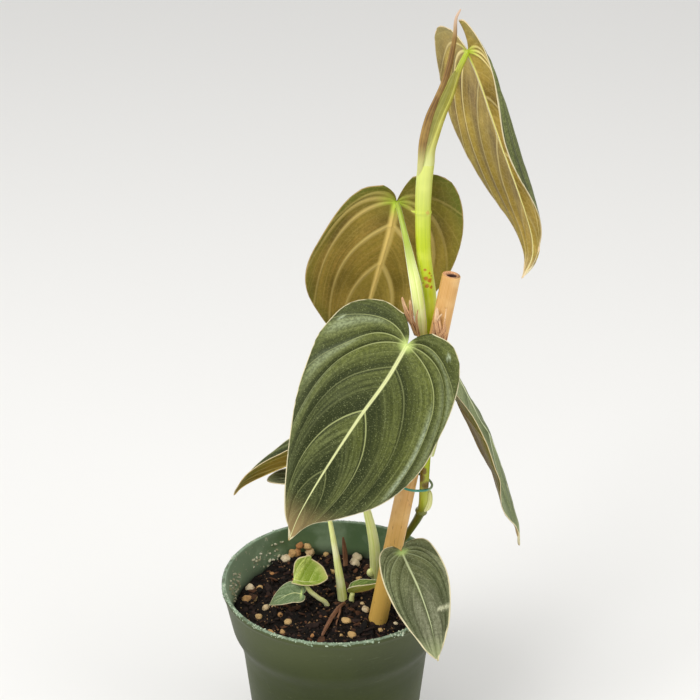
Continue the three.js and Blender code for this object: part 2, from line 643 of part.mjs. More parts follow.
addPiece('seedling_side_blade', blade(sideLeaf), youngGreen, 0.8);

export default plant;
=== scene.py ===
import math

import bpy
import numpy as np
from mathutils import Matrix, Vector, noise


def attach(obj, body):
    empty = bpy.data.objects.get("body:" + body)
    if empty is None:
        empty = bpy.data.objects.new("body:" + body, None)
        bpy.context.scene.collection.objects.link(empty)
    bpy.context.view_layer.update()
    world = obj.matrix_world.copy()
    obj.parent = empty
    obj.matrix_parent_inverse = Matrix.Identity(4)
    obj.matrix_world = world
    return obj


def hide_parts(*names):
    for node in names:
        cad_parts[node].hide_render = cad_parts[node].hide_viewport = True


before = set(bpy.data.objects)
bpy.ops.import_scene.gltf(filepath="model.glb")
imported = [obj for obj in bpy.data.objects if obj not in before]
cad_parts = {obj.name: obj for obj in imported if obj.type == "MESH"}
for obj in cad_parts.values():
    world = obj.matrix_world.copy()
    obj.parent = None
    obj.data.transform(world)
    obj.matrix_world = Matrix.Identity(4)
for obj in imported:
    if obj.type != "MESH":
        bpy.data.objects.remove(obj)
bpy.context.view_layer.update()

# A potted philodendron melanochrysum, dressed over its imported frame.
# Lengths are millimetres up to the mesh, and metres in materials, their zones and what is strewn.
mm = 0.001
root = "root"
veinNumbers = 8  # what vein numbers are divided by in a blade's UV map
uvLength = 100  # millimetres along a stalk for one unit of its UV map


# Curves, the same as the solids follow

def curvePart(p0, p1, p2, p3, part):
    # The smooth curve from p1 to p2
    start, end = (p2 - p0) / 2, (p3 - p1) / 2
    second, third = 3 * (p2 - p1) - 2 * start - end, 2 * (p1 - p2) + start + end
    return p1 + start * part + second * part**2 + third * part**3


def splineAt(points, places):
    # The curve through all points, at places from 0 to 1
    points = np.asarray(points, float)
    places = np.clip(np.atleast_1d(places), 0, 1) * (len(points) - 1)
    before = np.minimum(places.astype(int), len(points) - 2)
    part = (places - before)[:, None]
    ends = [2 * points[0] - points[1]], points, [2 * points[-1] - points[-2]]
    padded = np.vstack(ends)
    return curvePart(*(padded[before + i] for i in range(4)), part)


def evenPlaces(points, shares):
    # Places that lie at these shares of the curve's length
    fine = np.linspace(0, 1, 201)
    steps = np.linalg.norm(np.diff(splineAt(points, fine), axis=0), axis=1)
    lengths = np.concatenate([[0], np.cumsum(steps)])
    return np.interp(np.clip(shares, 0, 1) * lengths[-1], lengths, fine), lengths[-1]


def unit(vectors):
    return vectors / np.maximum(np.linalg.norm(vectors, axis=-1, keepdims=True), 1e-12)


def directionAt(points, places):
    near = 1e-4
    return unit(splineAt(points, np.asarray(places) + near) - splineAt(points, np.asarray(places) - near))


def bumps(places, size, seed=0.0):
    # Smooth noise from -1 to 1 at each place, with lumps about this big
    shift = Vector((seed, 3.7 * seed, 1.3 * seed))
    return np.array([noise.noise(Vector(place) / size + shift) for place in places])


# Meshes

def meshObject(name, vertices, faces, materials, faceMaterials=None, uv=None, values=None):
    mesh = bpy.data.meshes.new(name)
    mesh.from_pydata((np.asarray(vertices) * mm).tolist(), [], faces)
    for material in materials:
        mesh.materials.append(material)
    if faceMaterials is not None:
        mesh.polygons.foreach_set("material_index", faceMaterials)
    mesh.polygons.foreach_set("use_smooth", [True] * len(mesh.polygons))
    if uv is not None:
        layer = mesh.uv_layers.new(name="surface")
        layer.data.foreach_set("uv", np.asarray(uv, float).ravel())
    for key, data in (values or {}).items():
        mesh.attributes.new(key, "FLOAT", "POINT").data.foreach_set("value", np.asarray(data, float))
    mesh.update()
    made = bpy.data.objects.new(name, mesh)
    bpy.context.scene.collection.objects.link(made)
    return made


def finishPiece(piece, slot, *nodes):
    if nodes:
        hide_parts(*nodes)
    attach(piece, root)


def tubeFaces(base, rows, sides):
    # Quads between rings of points that start at base, one ring after another
    faces = []
    for row in range(rows - 1):
        low, high = base + row * sides, base + (row + 1) * sides
        for side in range(sides):
            after = (side + 1) % sides
            faces.append([low + side, low + after, high + after, high + side])
    return faces


def turnedOver(faces):
    return [face[:1] + face[:0:-1] for face in faces]


def tubeUvs(run, sides):
    # Turn and length along the tube for each of its quads
    uvs = []
    for low, high in zip(run, run[1:]):
        low, high = low / uvLength, high / uvLength
        for side in range(sides):
            u, v = side / sides, (side + 1) / sides
            uvs += [[u, low], [v, low], [v, high], [u, high]]
    return uvs


# Leaves

leafForm = {
    "veinSpaces": 7, "fanEnd": 3 / 7, "firstVeinAngle": 172, "lastVeinAngle": 30, "veinReach": 0.5,
    "edgeCrowding": 1.9, "rootCrowding": 1.2, "usualHalfWidth": 0.385,
    "rowSteps": [0, 0.02, 0.05, 0.09, 0.14, 0.21, 0.3, 0.4, 0.5, 0.6, 0.7, 0.79, 0.86, 0.91, 0.95, 0.98],
    "columns": 42, "columnCrowding": 1.35,
    # How strong each vein is drawn, and how strong the painted sheen band past it is
    "veinStrengths": [0, 1, 1, 1, 0.35, 0.9, 0.35, 0], "sheenBandStrengths": [0.5, 1, 1, 1, 0.5, 0.9, 0.4, 0],
    "thickness": 0.5, "rimThickness": 0.24, "rimReach": 1.2,
    "quilt": 0.7, "wave": 0.5, "waves": 2.3, "pucker": 0.16, "puckerSize": 5,
    "veinWidth": 0.55, "grooveDepth": 0.13, "veinHeight": 0.32, "ribWidth": 0.75, "ridge": 0.8,
}
heartOutline = [[0.09, -0.12], [0.21, -0.11], [0.32, -0.02], [0.37, 0.2], [0.335, 0.43], [0.225, 0.67],
                [0.1, 0.86], [0.035, 0.95], [0, 1]]
bluntOutline = [[0.07, -0.1], [0.2, -0.08], [0.28, 0.15], [0.28, 0.5], [0.2, 0.8], [0.08, 0.97], [0, 1]]
roundOutline = [[0.08, -0.06], [0.19, -0.07], [0.27, 0.12], [0.28, 0.5], [0.24, 0.82], [0.12, 0.98], [0, 1]]


def flatPlaces(half, rows, columns):
    # The blade before it is bent: across and along, in blade lengths, with rows that run along the veins
    form = leafForm
    outline = half.get("outline", heartOutline)
    firstVein = half.get("firstVein", form["firstVeinAngle"])
    sweep = 1 - (1 - rows) ** half.get("edgeCrowding", form["edgeCrowding"])
    edge = splineAt(outline, evenPlaces(outline, sweep)[0])
    crowding = half.get("rootCrowding", form["rootCrowding"])
    rib = np.clip((rows - form["fanEnd"]) / (1 - form["fanEnd"]), 0, 1) ** crowding
    start = np.stack([np.zeros_like(rib), rib], axis=1)
    angle = np.radians(form["lastVeinAngle"] + (firstVein - form["lastVeinAngle"]) * (1 - sweep))
    reach = form["veinReach"] * np.linalg.norm(edge - start, axis=1, keepdims=True)
    bend = start + reach * np.stack([np.sin(angle), np.cos(angle)], axis=1)
    c = columns[None, :, None]
    flat = (1 - c) ** 2 * start[:, None] + 2 * c * (1 - c) * bend[:, None] + c**2 * edge[:, None]
    return flat * [half.get("width", 1), 1]


def bentPlaces(leaf, side, flat, relief):
    # Where the flat places lie in space, as in the solids: a fold at the midrib, then a roll towards the edge
    half = leaf["right"] if side > 0 else leaf["left"]
    shape = flat.shape[:2]
    flat = flat.reshape(-1, 2)
    at = np.clip(flat[:, 1], 0, 1)
    places, length = evenPlaces(leaf["midrib"], at)
    origin = splineAt(leaf["midrib"], places)
    along = directionAt(leaf["midrib"], places)
    normal = splineAt(leaf["faces"], at)
    normal = unit(normal - along * np.sum(normal * along, axis=1, keepdims=True))
    across = np.cross(normal, along) * side
    slope = np.radians(half["fold"][0] + (half["fold"][1] - half["fold"][0]) * at)
    roll = half["roll"][0] + (half["roll"][1] - half["roll"][0]) * at
    gain = np.radians(np.where(roll == 0, 0.01, roll)) / (leafForm["usualHalfWidth"] * length)
    end = slope + gain * flat[:, 0] * length
    origin = origin + along * (np.minimum(flat[:, 1], 0) * length)[:, None]
    origin = origin + across * ((np.sin(end) - np.sin(slope)) / gain)[:, None]
    origin = origin + normal * ((np.cos(slope) - np.cos(end)) / gain + relief.ravel())[:, None]
    return origin.reshape(*shape, 3)


def bladeHalf(leaf, side, veins, columns, length, size):
    # One half of a blade: its places, what its materials need to know there, its quads and its UV map
    form, spaces = leafForm, leafForm["veinSpaces"]
    strength = np.array(leaf.get("veinStrengths", form["veinStrengths"]))[np.round(veins).astype(int)]
    # How strong the painted sheen band is past each vein
    sheenBandStrength = np.array(leaf.get("sheenBandStrengths", form["sheenBandStrengths"]))[np.floor(veins).astype(int)]
    half = leaf["right"] if side > 0 else leaf["left"]
    flat = flatPlaces(half, veins / spaces, columns)
    flatSize = flat * length
    alongRow = np.gradient(flatSize, columns, axis=1)
    acrossRow = np.gradient(flatSize, veins, axis=0)
    turned = acrossRow[..., 0] * alongRow[..., 1] - acrossRow[..., 1] * alongRow[..., 0]
    gap = np.abs(turned) / np.maximum(np.linalg.norm(alongRow, axis=2), 1e-6)
    margin = splineAt(flat[:, -1], np.linspace(0, 1, 400)) * length
    rim = np.min(np.linalg.norm(flatSize[:, :, None] - margin[None, None], axis=3), axis=2)
    fromVein = np.abs(veins - np.round(veins))[:, None] * gap
    swell = np.sin(np.pi * veins)[:, None] ** 2
    quilt = leaf.get("quilt", form["quilt"]) * swell * np.sin(np.pi * columns)
    waveTurn = 2 * np.pi * form["waves"] * veins[:, None] / spaces + side
    wave = leaf.get("wave", form["wave"]) * size * columns**5 * np.sin(waveTurn)
    spots = np.dstack([flatSize, np.full(gap.shape, side * 9.0)]).reshape(-1, 3)
    pucker = form["pucker"] * size * bumps(spots, form["puckerSize"] * size)
    relief = quilt + wave + pucker.reshape(gap.shape)
    places = bentPlaces(leaf, side, flat, relief)
    onVein = np.exp(-((fromVein / (form["veinWidth"] * size)) ** 2))
    groove = strength[:, None] * onVein * (1 - 0.55 * columns)
    rib = np.exp(-((flatSize[..., 0] / (form["ribWidth"] * size)) ** 2))
    rib = rib * np.clip(flatSize[..., 1] / size, 0, 1)
    streak, shade = np.zeros(gap.shape), np.zeros(gap.shape)
    # A painted sheen streak's side, vein number, spread, start and power; a mark's side, place, half sizes
    # and power, for scars and for painted shade
    for markSide, middle, spread, start, power in leaf.get("sheenStreaks", []):
        if markSide == side:
            beside = np.exp(-(((veins - middle) / spread) ** 2))[:, None]
            rise, fall = np.clip((columns - start) / 0.2, 0, 1), np.clip((1 - columns) / 0.1, 0, 1)
            streak += power * beside * rise * fall
    # Scars join the sheen streaks as pale marks; shade marks paint shade, and paint light where their power
    # is negative
    for marks, soft, field in (("scars", 2.0, streak), ("paintedShades", 1.0, shade)):
        for markSide, across, along, wide, long, power in leaf.get(marks, []):
            if markSide == side:
                reach = ((flat[..., 0] - across) / wide) ** 2 + ((flat[..., 1] - along) / long) ** 2
                field += power * np.clip(soft * (1 - reach), 0, 1)
    values = {
        "veinGap": gap, "veinPower": np.broadcast_to(strength[:, None], gap.shape), "rimDistance": rim,
        "bandPower": np.broadcast_to(sheenBandStrength[:, None], gap.shape),
        "half": np.full(gap.shape, float(side)), "streak": np.clip(streak, 0, 1), "shade": shade,
        "ribDistance": flatSize[..., 0], "alongLeaf": flat[..., 1], "groove": groove,
        "ridge": rib * leaf.get("ridge", form["ridge"]) * (1 - 0.8 * np.clip(flat[..., 1], 0, 1)),
    }
    grid = np.arange(gap.size).reshape(gap.shape) + (0 if side > 0 else gap.size)
    quads = np.stack([grid[:-1, :-1], grid[:-1, 1:], grid[1:, 1:], grid[1:, :-1]], axis=-1).reshape(-1, 4)
    uvs = np.stack(np.broadcast_arrays(veins[:, None] / veinNumbers, columns[None, :]), axis=-1)
    return places.reshape(-1, 3), values, quads if side < 0 else quads[:, ::-1], uvs.reshape(-1, 2)


def bladePiece(name, leaf, materials):
    form, spaces = leafForm, leafForm["veinSpaces"]
    veins = np.array([k + step for k in range(spaces) for step in form["rowSteps"]] + [spaces], float)
    columns = np.linspace(0, 1, form["columns"]) ** form["columnCrowding"]
    length = evenPlaces(leaf["midrib"], [1])[1]
    size = length / 100  # relief grows with the leaf
    halves = [bladeHalf(leaf, side, veins, columns, length, size) for side in (1, -1)]
    points, corners, uvs = (np.concatenate([half[part] for half in halves]) for part in (0, 2, 3))
    values = {key: np.concatenate([half[1][key].ravel() for half in halves]) for key in halves[0][1]}
    # Places that fall together, at the joint and along the midrib, become one
    _, first, merged = np.unique(np.round(points, 3), axis=0, return_index=True, return_inverse=True)
    merged = merged.ravel()
    points = points[first]
    values = {key: data[first] for key, data in values.items()}
    faces, faceUvs = [], []
    for quad in corners:
        kept = [i for n, i in enumerate(quad) if merged[i] != merged[quad[n - 1]]]
        if len(kept) > 2:
            faces.append([int(merged[i]) for i in kept])
            faceUvs.append(uvs[kept])
    normals = np.zeros_like(points)
    edges = {}
    for face in faces:
        a, b, c = points[face[0]], points[face[1]], points[face[2]]
        normal = np.cross(b - a, c - a)
        if len(face) == 4:
            normal = normal + np.cross(c - a, points[face[3]] - a)
        normals[face] += normal
        for start, end in zip(face, face[1:] + face[:1]):
            edges[(start, end)] = True
    normals = unit(normals)
    toRim = np.clip(values["rimDistance"] / (form["rimReach"] * size), 0, 1)
    half = (form["rimThickness"] + (form["thickness"] - form["rimThickness"]) * toRim) / 2
    top = points + normals * (half - form["grooveDepth"] * size * values["groove"])[:, None]
    raised = form["veinHeight"] * size * values["groove"]
    under = points - normals * (half + raised + values["ridge"])[:, None]
    count = len(points)
    allFaces = [list(face) for face in faces]
    allFaces += [[i + count for i in reversed(face)] for face in faces]
    allUvs = list(faceUvs) + [face[::-1] for face in faceUvs]
    kinds = [0] * len(faces) + [1] * len(faces)
    for start, end in edges:
        if (end, start) not in edges:
            allFaces.append([end, start, start + count, end + count])
            allUvs.append(np.array([[0.5 / veinNumbers, 1.0]] * 4))
            kinds.append(2)
    both = {key: np.concatenate([data, data]) for key, data in values.items()
            if key not in ("groove", "ridge")}
    return meshObject(name, np.vstack([top, under]), allFaces, materials, kinds, np.concatenate(allUvs), both)


topLeaf = {
    "midrib": [[53.9, -2, 342.8], [59.3, 0, 330.7], [66.8, 3, 310.5], [74.6, 6, 290.4], [81.6, 8, 272.2],
               [85.3, 9, 259.3], [85.2, 8, 250.5], [80.9, 5, 243.4]],
    "faces": [[0.85, 0.45, 0.3], [0.77, 0.57, 0.2], [0.78, 0.56, 0.1]],
    "right": {"outline": [[0.1, -0.07], [0.21, -0.06], [0.31, 0.02], [0.345, 0.16], [0.325, 0.38],
                          [0.225, 0.65], [0.085, 0.87], [0.03, 0.95], [0, 1]], "firstVein": 150,
              "fold": [8, 8], "roll": [-5, -15], "edgeCrowding": 2.5, "rootCrowding": 1.5},
    "left": {"outline": [[0.02, -0.13], [0.06, -0.12], [0.14, -0.02], [0.23, 0.13], [0.28, 0.3], [0.26, 0.46],
                         [0.17, 0.66], [0.04, 0.86], [0.012, 0.95], [0, 1]], "firstVein": 150, "width": 0.84,
             "fold": [30, 0], "roll": [-170, -150]},
    "wave": 0.1, "veinStrengths": [0, 0.7, 1, 1, 0.45, 0.6, 0.2, 0],
    "sheenBandStrengths": [0.5, 1, 1, 0.9, 0.5, 0.5, 0.3, 0],
    "paintedShades": [[1, 0.16, 0.2, 0.09, 0.16, 0.5], [1, 0.3, 0.36, 0.07, 0.3, 0.4],
               [1, 0.08, 0.1, 0.12, 0.2, 0.24], [1, 0.12, 0.8, 0.14, 0.2, 0.2],
               [1, 0.12, 0.46, 0.06, 0.16, -0.2]],
}
backLeaf = {
    "midrib": [[26.5, 4.4, 277.9], [23.2, 8, 259.6], [19.2, 13, 243.1], [12.8, 21, 214.7], [7, 25, 194]],
    "faces": [[0.02, 0.95, 0.3], [0.05, 0.93, 0.35]],
    "right": {"outline": [[0.08, -0.08], [0.18, -0.05], [0.27, 0.06], [0.34, 0.23], [0.37, 0.4], [0.33, 0.56],
                          [0.22, 0.73], [0.09, 0.88], [0.03, 0.95], [0, 1]], "fold": [-5, -8],
              "roll": [-15, -20], "rootCrowding": 1.5},
    "left": {"outline": [[0.05, -0.15], [0.14, -0.185], [0.24, -0.16], [0.315, -0.04], [0.345, 0.13],
                         [0.32, 0.34], [0.24, 0.58], [0.12, 0.82], [0.035, 0.95], [0, 1]], "fold": [-5, -8],
             "roll": [-15, -20], "rootCrowding": 1.5},
    "veinStrengths": [0, 0.45, 0.65, 0.85, 0.9, 0.85, 0.3, 0],
    "paintedShades": [[-1, 0.28, 0.34, 0.14, 0.3, -0.24], [1, 0.3, 0, 0.16, 0.26, 0.4],
               [1, 0.26, 0.34, 0.14, 0.34, 0.26], [1, 0.1, 0.1, 0.14, 0.12, 0.2]],
}
frontLeaf = {
    "midrib": [[30.5, -28.4, 226.5], [21.8, -37, 214.3], [9.9, -44, 199.4], [-4.6, -49, 176.9],
               [-13.9, -51, 159.9], [-18.8, -50, 146.2]],
    "faces": [[0, -0.85, 0.53], [0, -0.93, 0.37], [0, -0.97, 0.2]],
    "right": {"outline": [[0.07, -0.1], [0.17, -0.1], [0.255, -0.02], [0.312, 0.15], [0.357, 0.4],
                          [0.31, 0.62], [0.18, 0.79], [0.06, 0.9], [0, 1]], "fold": [-5, -5],
              "roll": [-20, -20], "rootCrowding": 1.62},
    "left": {"outline": [[0.08, -0.115], [0.2, -0.12], [0.325, -0.03], [0.36, 0.17], [0.28, 0.43],
                         [0.165, 0.67], [0.06, 0.88], [0.015, 0.95], [0, 1]], "fold": [-5, -5],
             "roll": [-20, -20], "rootCrowding": 1.62},
    "quilt": 1.1, "sheenStreaks": [[1, 3.12, 0.1, 0.38, 0.85], [1, 2.3, 0.24, 0.3, 0.24],
                              [-1, 2.15, 0.2, 0.4, 0.34], [-1, 3.1, 0.12, 0.5, 0.12],
                              [-1, 1.2, 0.16, 0.3, 0.4], [1, 1.3, 0.22, 0.2, 0.34]],
    "paintedShades": [[-1, 0.2, 0.35, 0.2, 0.5, 0.16], [-1, 0.1, 0.75, 0.16, 0.3, 0.12],
               [1, 0.2, 0.2, 0.18, 0.4, -0.14]],
    "scars": [[1, 0.18, -0.05, 0.015, 0.015, 0.8], [-1, 0.31, 0.018, 0.012, 0.012, 0.7]],
}
rightLeaf = {
    "midrib": [[53.9, 8, 197.5], [60, 10, 184.7], [66, 12, 171.6], [72.4, 14, 159.5], [81.6, 18, 130.3],
               [86.7, 21, 111.4], [88.2, 22, 99.4]],
    "faces": [[0.85, -0.1, 0.5], [0.95, -0.1, 0.3]],
    "right": {"outline": [[0.06, -0.06], [0.16, -0.07], [0.24, 0], [0.3, 0.18], [0.31, 0.4], [0.225, 0.67],
                          [0.1, 0.86], [0.035, 0.95], [0, 1]], "firstVein": 150, "fold": [-12, -8],
              "roll": [-10, -10], "edgeCrowding": 2.4, "rootCrowding": 1.5},
    "left": {"outline": [[0.09, -0.12], [0.21, -0.11], [0.32, -0.02], [0.37, 0.2], [0.33, 0.41], [0.19, 0.65],
                         [0.06, 0.85], [0.015, 0.95], [0, 1]], "fold": [-18, -5], "roll": [62, 0],
             "edgeCrowding": 2.4, "rootCrowding": 1.5},
}
leftLeaf = {
    "midrib": [[-0.8, 12, 161.4], [-11.4, 12, 153.6], [-23.5, 14, 146.8], [-36.4, 17, 138.8],
               [-43.7, 19, 132.9], [-47.7, 20, 128.1]],
    "faces": [[-0.4, 0.25, 0.88], [-0.5, 0.25, 0.85]],
    "right": {"fold": [27, 27], "roll": [10, 10], "width": 0.85},
    "left": {"fold": [27, 27], "roll": [10, 10], "width": 0.85},
}
smallLeftLeaf = {
    "midrib": [[-6, 14, 137.3], [-16.3, 15, 139.4], [-25, 16, 139], [-31.7, 17, 138]],
    "faces": [[0, -0.15, 0.98], [0, -0.15, 0.98]],
    "right": {"outline": bluntOutline, "fold": [10, 10], "roll": [10, 10]},
    "left": {"outline": bluntOutline, "fold": [10, 10], "roll": [10, 10]},
    "quilt": 0.15, "ridge": 0.4, "wave": 0.3,
}
lowLeaf = {
    "midrib": [[30.1, -25, 124.2], [32.6, -31, 121.2], [36.4, -41, 117.4], [39.4, -49, 112.6],
               [41.9, -55, 106.5], [43.5, -60, 99.9], [44.8, -62, 93.1]],
    "faces": [[0, -0.5, 0.87], [0, -0.7, 0.7], [0, -0.9, 0.4]],
    "right": {"outline": [[0.07, -0.075], [0.16, -0.07], [0.245, -0.01], [0.28, 0.2], [0.255, 0.43],
                          [0.17, 0.67], [0.075, 0.86], [0.025, 0.95], [0, 1]], "fold": [12, 5],
              "roll": [-10, -10], "edgeCrowding": 2.8, "rootCrowding": 1.7},
    "left": {"outline": [[0.06, -0.085], [0.14, -0.075], [0.21, 0], [0.255, 0.2], [0.255, 0.43],
                         [0.195, 0.67], [0.105, 0.86], [0.045, 0.95], [0, 1]], "fold": [12, 5],
             "roll": [-10, -10], "edgeCrowding": 2.8, "rootCrowding": 1.7},
    "quilt": 1.1, "ridge": 0.5, "scars": [[1, 0.145, 0.6, 0.075, 0.02, 1.0]],
    "sheenStreaks": [[1, 6, 1.3, 0, 0.3], [-1, 6, 1.3, 0, 0.3], [1, 1.5, 0.5, 0.4, 0.2]],
    "veinStrengths": [0, 0.9, 0.9, 0.8, 0.25, 0.2, 0, 0], "sheenBandStrengths": [0.6, 1, 1, 0.8, 0.3, 0.15, 0, 0],
}
sproutLeaf = {
    "midrib": [[8.4, 6.4, 83], [14.6, 5.6, 84.6], [20, 5.6, 87], [24.5, 6, 90]],
    "faces": [[-0.3, 0.3, 0.9], [-0.3, 0.3, 0.9]],
    "right": {"fold": [33, 33], "roll": [15, 15]},
    "left": {"fold": [33, 33], "roll": [15, 15]},
    "quilt": 0.1, "ridge": 0.3, "wave": 0.2,
}
cupLeaf = {
    "midrib": [[-19.4, 1, 93.2], [-14.6, 1.4, 91.8], [-8.6, 2, 91.8], [-3.4, 2.4, 94.4]],
    "faces": [[0, -0.5, 0.85], [-0.2, -0.5, 0.85]],
    "right": {"outline": roundOutline, "firstVein": 115, "fold": [20, 20], "roll": [18, 18], "width": 2.7},
    "left": {"outline": roundOutline, "firstVein": 115, "fold": [25, 25], "roll": [50, 50], "width": 1.3},
    "quilt": 0.1, "ridge": 0.3, "wave": 0.4, "paintedShades": [[1, 0.3, 0.5, 0.3, 0.42, 0.2]],
}
sideLeaf = {
    "midrib": [[-15.8, -2.6, 87.8], [-20, -2.4, 88], [-26, -3, 85.3], [-31, -3.4, 82]],
    "faces": [[-0.2, -0.36, 0.9], [-0.3, -0.42, 0.85]],
    "right": {"fold": [8, 8], "roll": [10, 10]},
    "left": {"fold": [8, 8], "roll": [10, 10]},
    "quilt": 0.1, "ridge": 0.3, "wave": 0.2,
}


# Stems and stalks

shootForm = {
    "sides": 28, "step": 0.8, "facing": [0, -1, 0], "ringSpread": 0.6, "rounding": [0.5, 0.5],
    "ribs": 0.012, "ribCount": 9, "unevenness": 0.05, "lumpSize": 2.5,
}


def shootPiece(name, shoots, material):
    # A route's entries are x, y, z, half width and, where it isn't round, half depth
    form, sides = shootForm, shootForm["sides"]
    vertices, faces, uvs = [], [], []
    for shoot in shoots:
        route = np.array([entry[:3] for entry in shoot["route"]], float)
        girth = np.array([[entry[3], entry[-1]] for entry in shoot["route"]], float)
        length = evenPlaces(route, [1])[1]
        places = np.linspace(0, 1, max(6, round(length / form["step"])) + 1)
        facing = np.array(shoot.get("facing", form["facing"]), float)
        centre = splineAt(route, places)
        along = directionAt(route, places)
        across = unit(np.cross(facing, along))
        outward = np.cross(along, across)
        size = splineAt(girth, places)
        run = np.concatenate([[0], np.cumsum(np.linalg.norm(np.diff(centre, axis=0), axis=1))])
        for ring in shoot.get("rings", []):
            away = (run - np.interp(ring["at"], places, run)) / ring.get("spread", form["ringSpread"])
            size = size + ring["swell"] * np.exp(-(away**2))[:, None]
        # Rounded ends, drawn in over the last part of the route
        for toEnd, amount in zip((run, length - run), shoot.get("rounding", form["rounding"])):
            rounding = np.clip((toEnd + 0.02) / (amount * size[:, 0]), 0, 1)
            size = size * np.sqrt(1 - (1 - rounding) ** 2)[:, None]
        angle = np.linspace(0, 2 * np.pi, sides, endpoint=False)
        ribs = 1 + shoot.get("ribs", form["ribs"]) * np.cos(shoot.get("ribCount", form["ribCount"]) * angle)
        grid = centre[:, None] + across[:, None] * (size[:, :1] * np.cos(angle) * ribs)[..., None]
        grid = grid + outward[:, None] * (size[:, 1:] * np.sin(angle) * ribs)[..., None]
        flat = grid.reshape(-1, 3)
        outer = unit(flat - np.repeat(centre, sides, axis=0))
        flat = flat + form["unevenness"] * outer * bumps(flat, form["lumpSize"])[:, None]
        base = len(vertices)
        vertices.extend(flat)
        last = base + (len(places) - 1) * sides
        faces += tubeFaces(base, len(places), sides)
        faces.append([base + side for side in reversed(range(sides))])
        faces.append([last + side for side in range(sides)])
        uvs += tubeUvs(run, sides) + [[0.5, 0]] * sides + [[0.5, length / uvLength]] * sides
    return meshObject(name, vertices, faces, [material], uv=uvs)


stemShoots = [
    {"route": [[27.5, 28, 52, 1.7], [27.5, 24.4, 78, 1.7], [28.6, 8, 104.9, 1.6], [33.8, 0, 119.4, 1.6],
               [39.2, -7, 135.1, 2], [39.9, -11.6, 148.3, 2], [40.6, -7.4, 168.4, 2.4], [41, -6.5, 189, 2.6],
               [41.5, -6.9, 208.7, 2.9], [41.2, -7.7, 223.3, 3], [40.6, -7.6, 238.5, 3.1],
               [37.9, -7, 258.4, 3.1], [37.2, -6, 276.9, 3.3], [37.4, -5.5, 288.4, 3.4],
               [38.1, -5, 297.4, 3.4]],
     "rings": [{"at": 0.286, "swell": 0.8, "spread": 0.9}, {"at": 0.43, "swell": 0.4},
               {"at": 0.5, "swell": 0.5}, {"at": 0.645, "swell": 0.5},
               {"at": 0.857, "swell": 0.45, "spread": 0.5}], "ribs": 0.006,
     "rounding": [0.5, 0.02]},
    {"route": [[35.4, -6.8, 277, 0.7], [33.4, -7.4, 277.4, 0.5], [32.2, -7.6, 278, 0.15]]},
]
budShoots = [{"route": [[40, -7.6, 136, 1.2], [41.6, -9, 139, 2], [42.6, -9.6, 144, 1.5],
                        [42.3, -9.8, 147.6, 0.8]],
              "rounding": [1, 1]}]
# The top stalk runs on from the stem, and a thin wing of it holds the new leaf's sheath
topPetiole = [
    {"route": [[37.9, -5.1, 295.5, 3.3], [38.2, -4.9, 298, 3.4], [38.6, -4.9, 303.1, 3.2],
               [40.6, -4.6, 309.2, 2.7], [43.7, -4, 317.3, 2.1], [47.2, -3.4, 325.4, 1.7],
               [50.1, -2.8, 334.6, 1.3], [53.2, -2.6, 341.6, 1.1], [54.3, -2.2, 342.8, 0.9]],
     "rounding": [0.02, 0.5]},
]
wingShoots = [{"route": [[37, -6.6, 301, 2.4, 1.2], [38.6, -6.8, 309.5, 2.2, 1.1], [41.2, -6.6, 318, 2, 0.8],
                         [44.6, -6, 325.5, 1.6, 0.6], [47.2, -5.4, 331.5, 1.1, 0.45],
                         [49, -4.4, 335.5, 0.4, 0.3]]}]
sheathShoots = [{"route": [[35.6, -6, 290, 0.8, 0.4], [35.6, -8.2, 297.5, 1.2, 0.5],
                           [36.6, -9.2, 308.3, 1.7, 0.8], [38.6, -9.2, 317.4, 1.6, 0.9],
                           [41.3, -9, 324.7, 1.2, 0.9], [44.1, -8.4, 331.1, 1.2, 0.9],
                           [46.1, -8, 337.8, 1.2, 0.9], [47.4, -7.6, 344.4, 1, 0.8],
                           [48.2, -7.2, 350.4, 0.85, 0.6], [48.4, -7, 356.4, 0.6, 0.4],
                           [50.2, -7, 360.4, 0.3, 0.3]]}]
backPetiole = [{"route": [[38, -12.1, 219, 2, 1.2], [36.8, -13.2, 231, 2.5, 1.3],
                          [34.8, -12.8, 245, 2.5, 1.2], [32.3, -10.6, 257, 1.9, 1.2],
                          [29.9, -7, 267.2, 1.25], [27.8, -0.5, 275, 1.1], [26.6, 3.5, 277.8, 1]]}]
frontPetiole = [{"route": [[38.2, -5, 188, 1.9], [34.8, -8.2, 197, 1.8], [31.6, -14, 208, 1.5],
                           [30.2, -21.5, 219, 1.3], [30.4, -27.4, 226, 1.2]], "facing": [1, 0, 0]}]
rightPetiole = [{"route": [[42.2, -9, 164, 1.8], [45.4, -6, 175, 1.6], [50, 2, 189, 1.3],
                           [53.5, 7.6, 197, 1.1]],
                 "facing": [1, 0, 0]}]
leftPetiole = [
    {"route": [[20.4, 32, 58, 2.4], [19.6, 28, 78, 2.6], [18.5, 24, 99.4, 2.6], [15.1, 22.4, 118.1, 1.9],
               [10.8, 18.6, 136.1, 1.6], [4.7, 14.8, 152, 1.3], [-0.6, 12.4, 161, 1.1]]},
    {"route": [[18.6, 26.4, 79, 1], [16.8, 25.4, 81.4, 1.7], [16.9, 25.2, 84, 0.8]], "rounding": [1, 1]},
]
smallLeftPetiole = [{"route": [[4.4, 11, 60, 2], [3.4, 8.8, 78, 2.3], [0.8, 10, 98.5, 1.6],
                               [-2.6, 13.4, 119.1, 1.05], [-4.4, 14.4, 130, 0.95], [-5.9, 14.1, 137, 0.9]]}]
lowPetiole = [{"route": [[29.4, 15, 89, 1.3], [32.4, 8, 97, 1.3], [36, -4, 110, 1.2], [36.4, -17, 120, 1.1],
                         [31.4, -24, 124.2, 1]], "facing": [1, 0, 0]}]
sproutPetiole = [{"route": [[7.6, 7.4, 76, 1.3], [7.8, 7, 80, 1.2], [8.4, 6.6, 82.6, 1]]}]
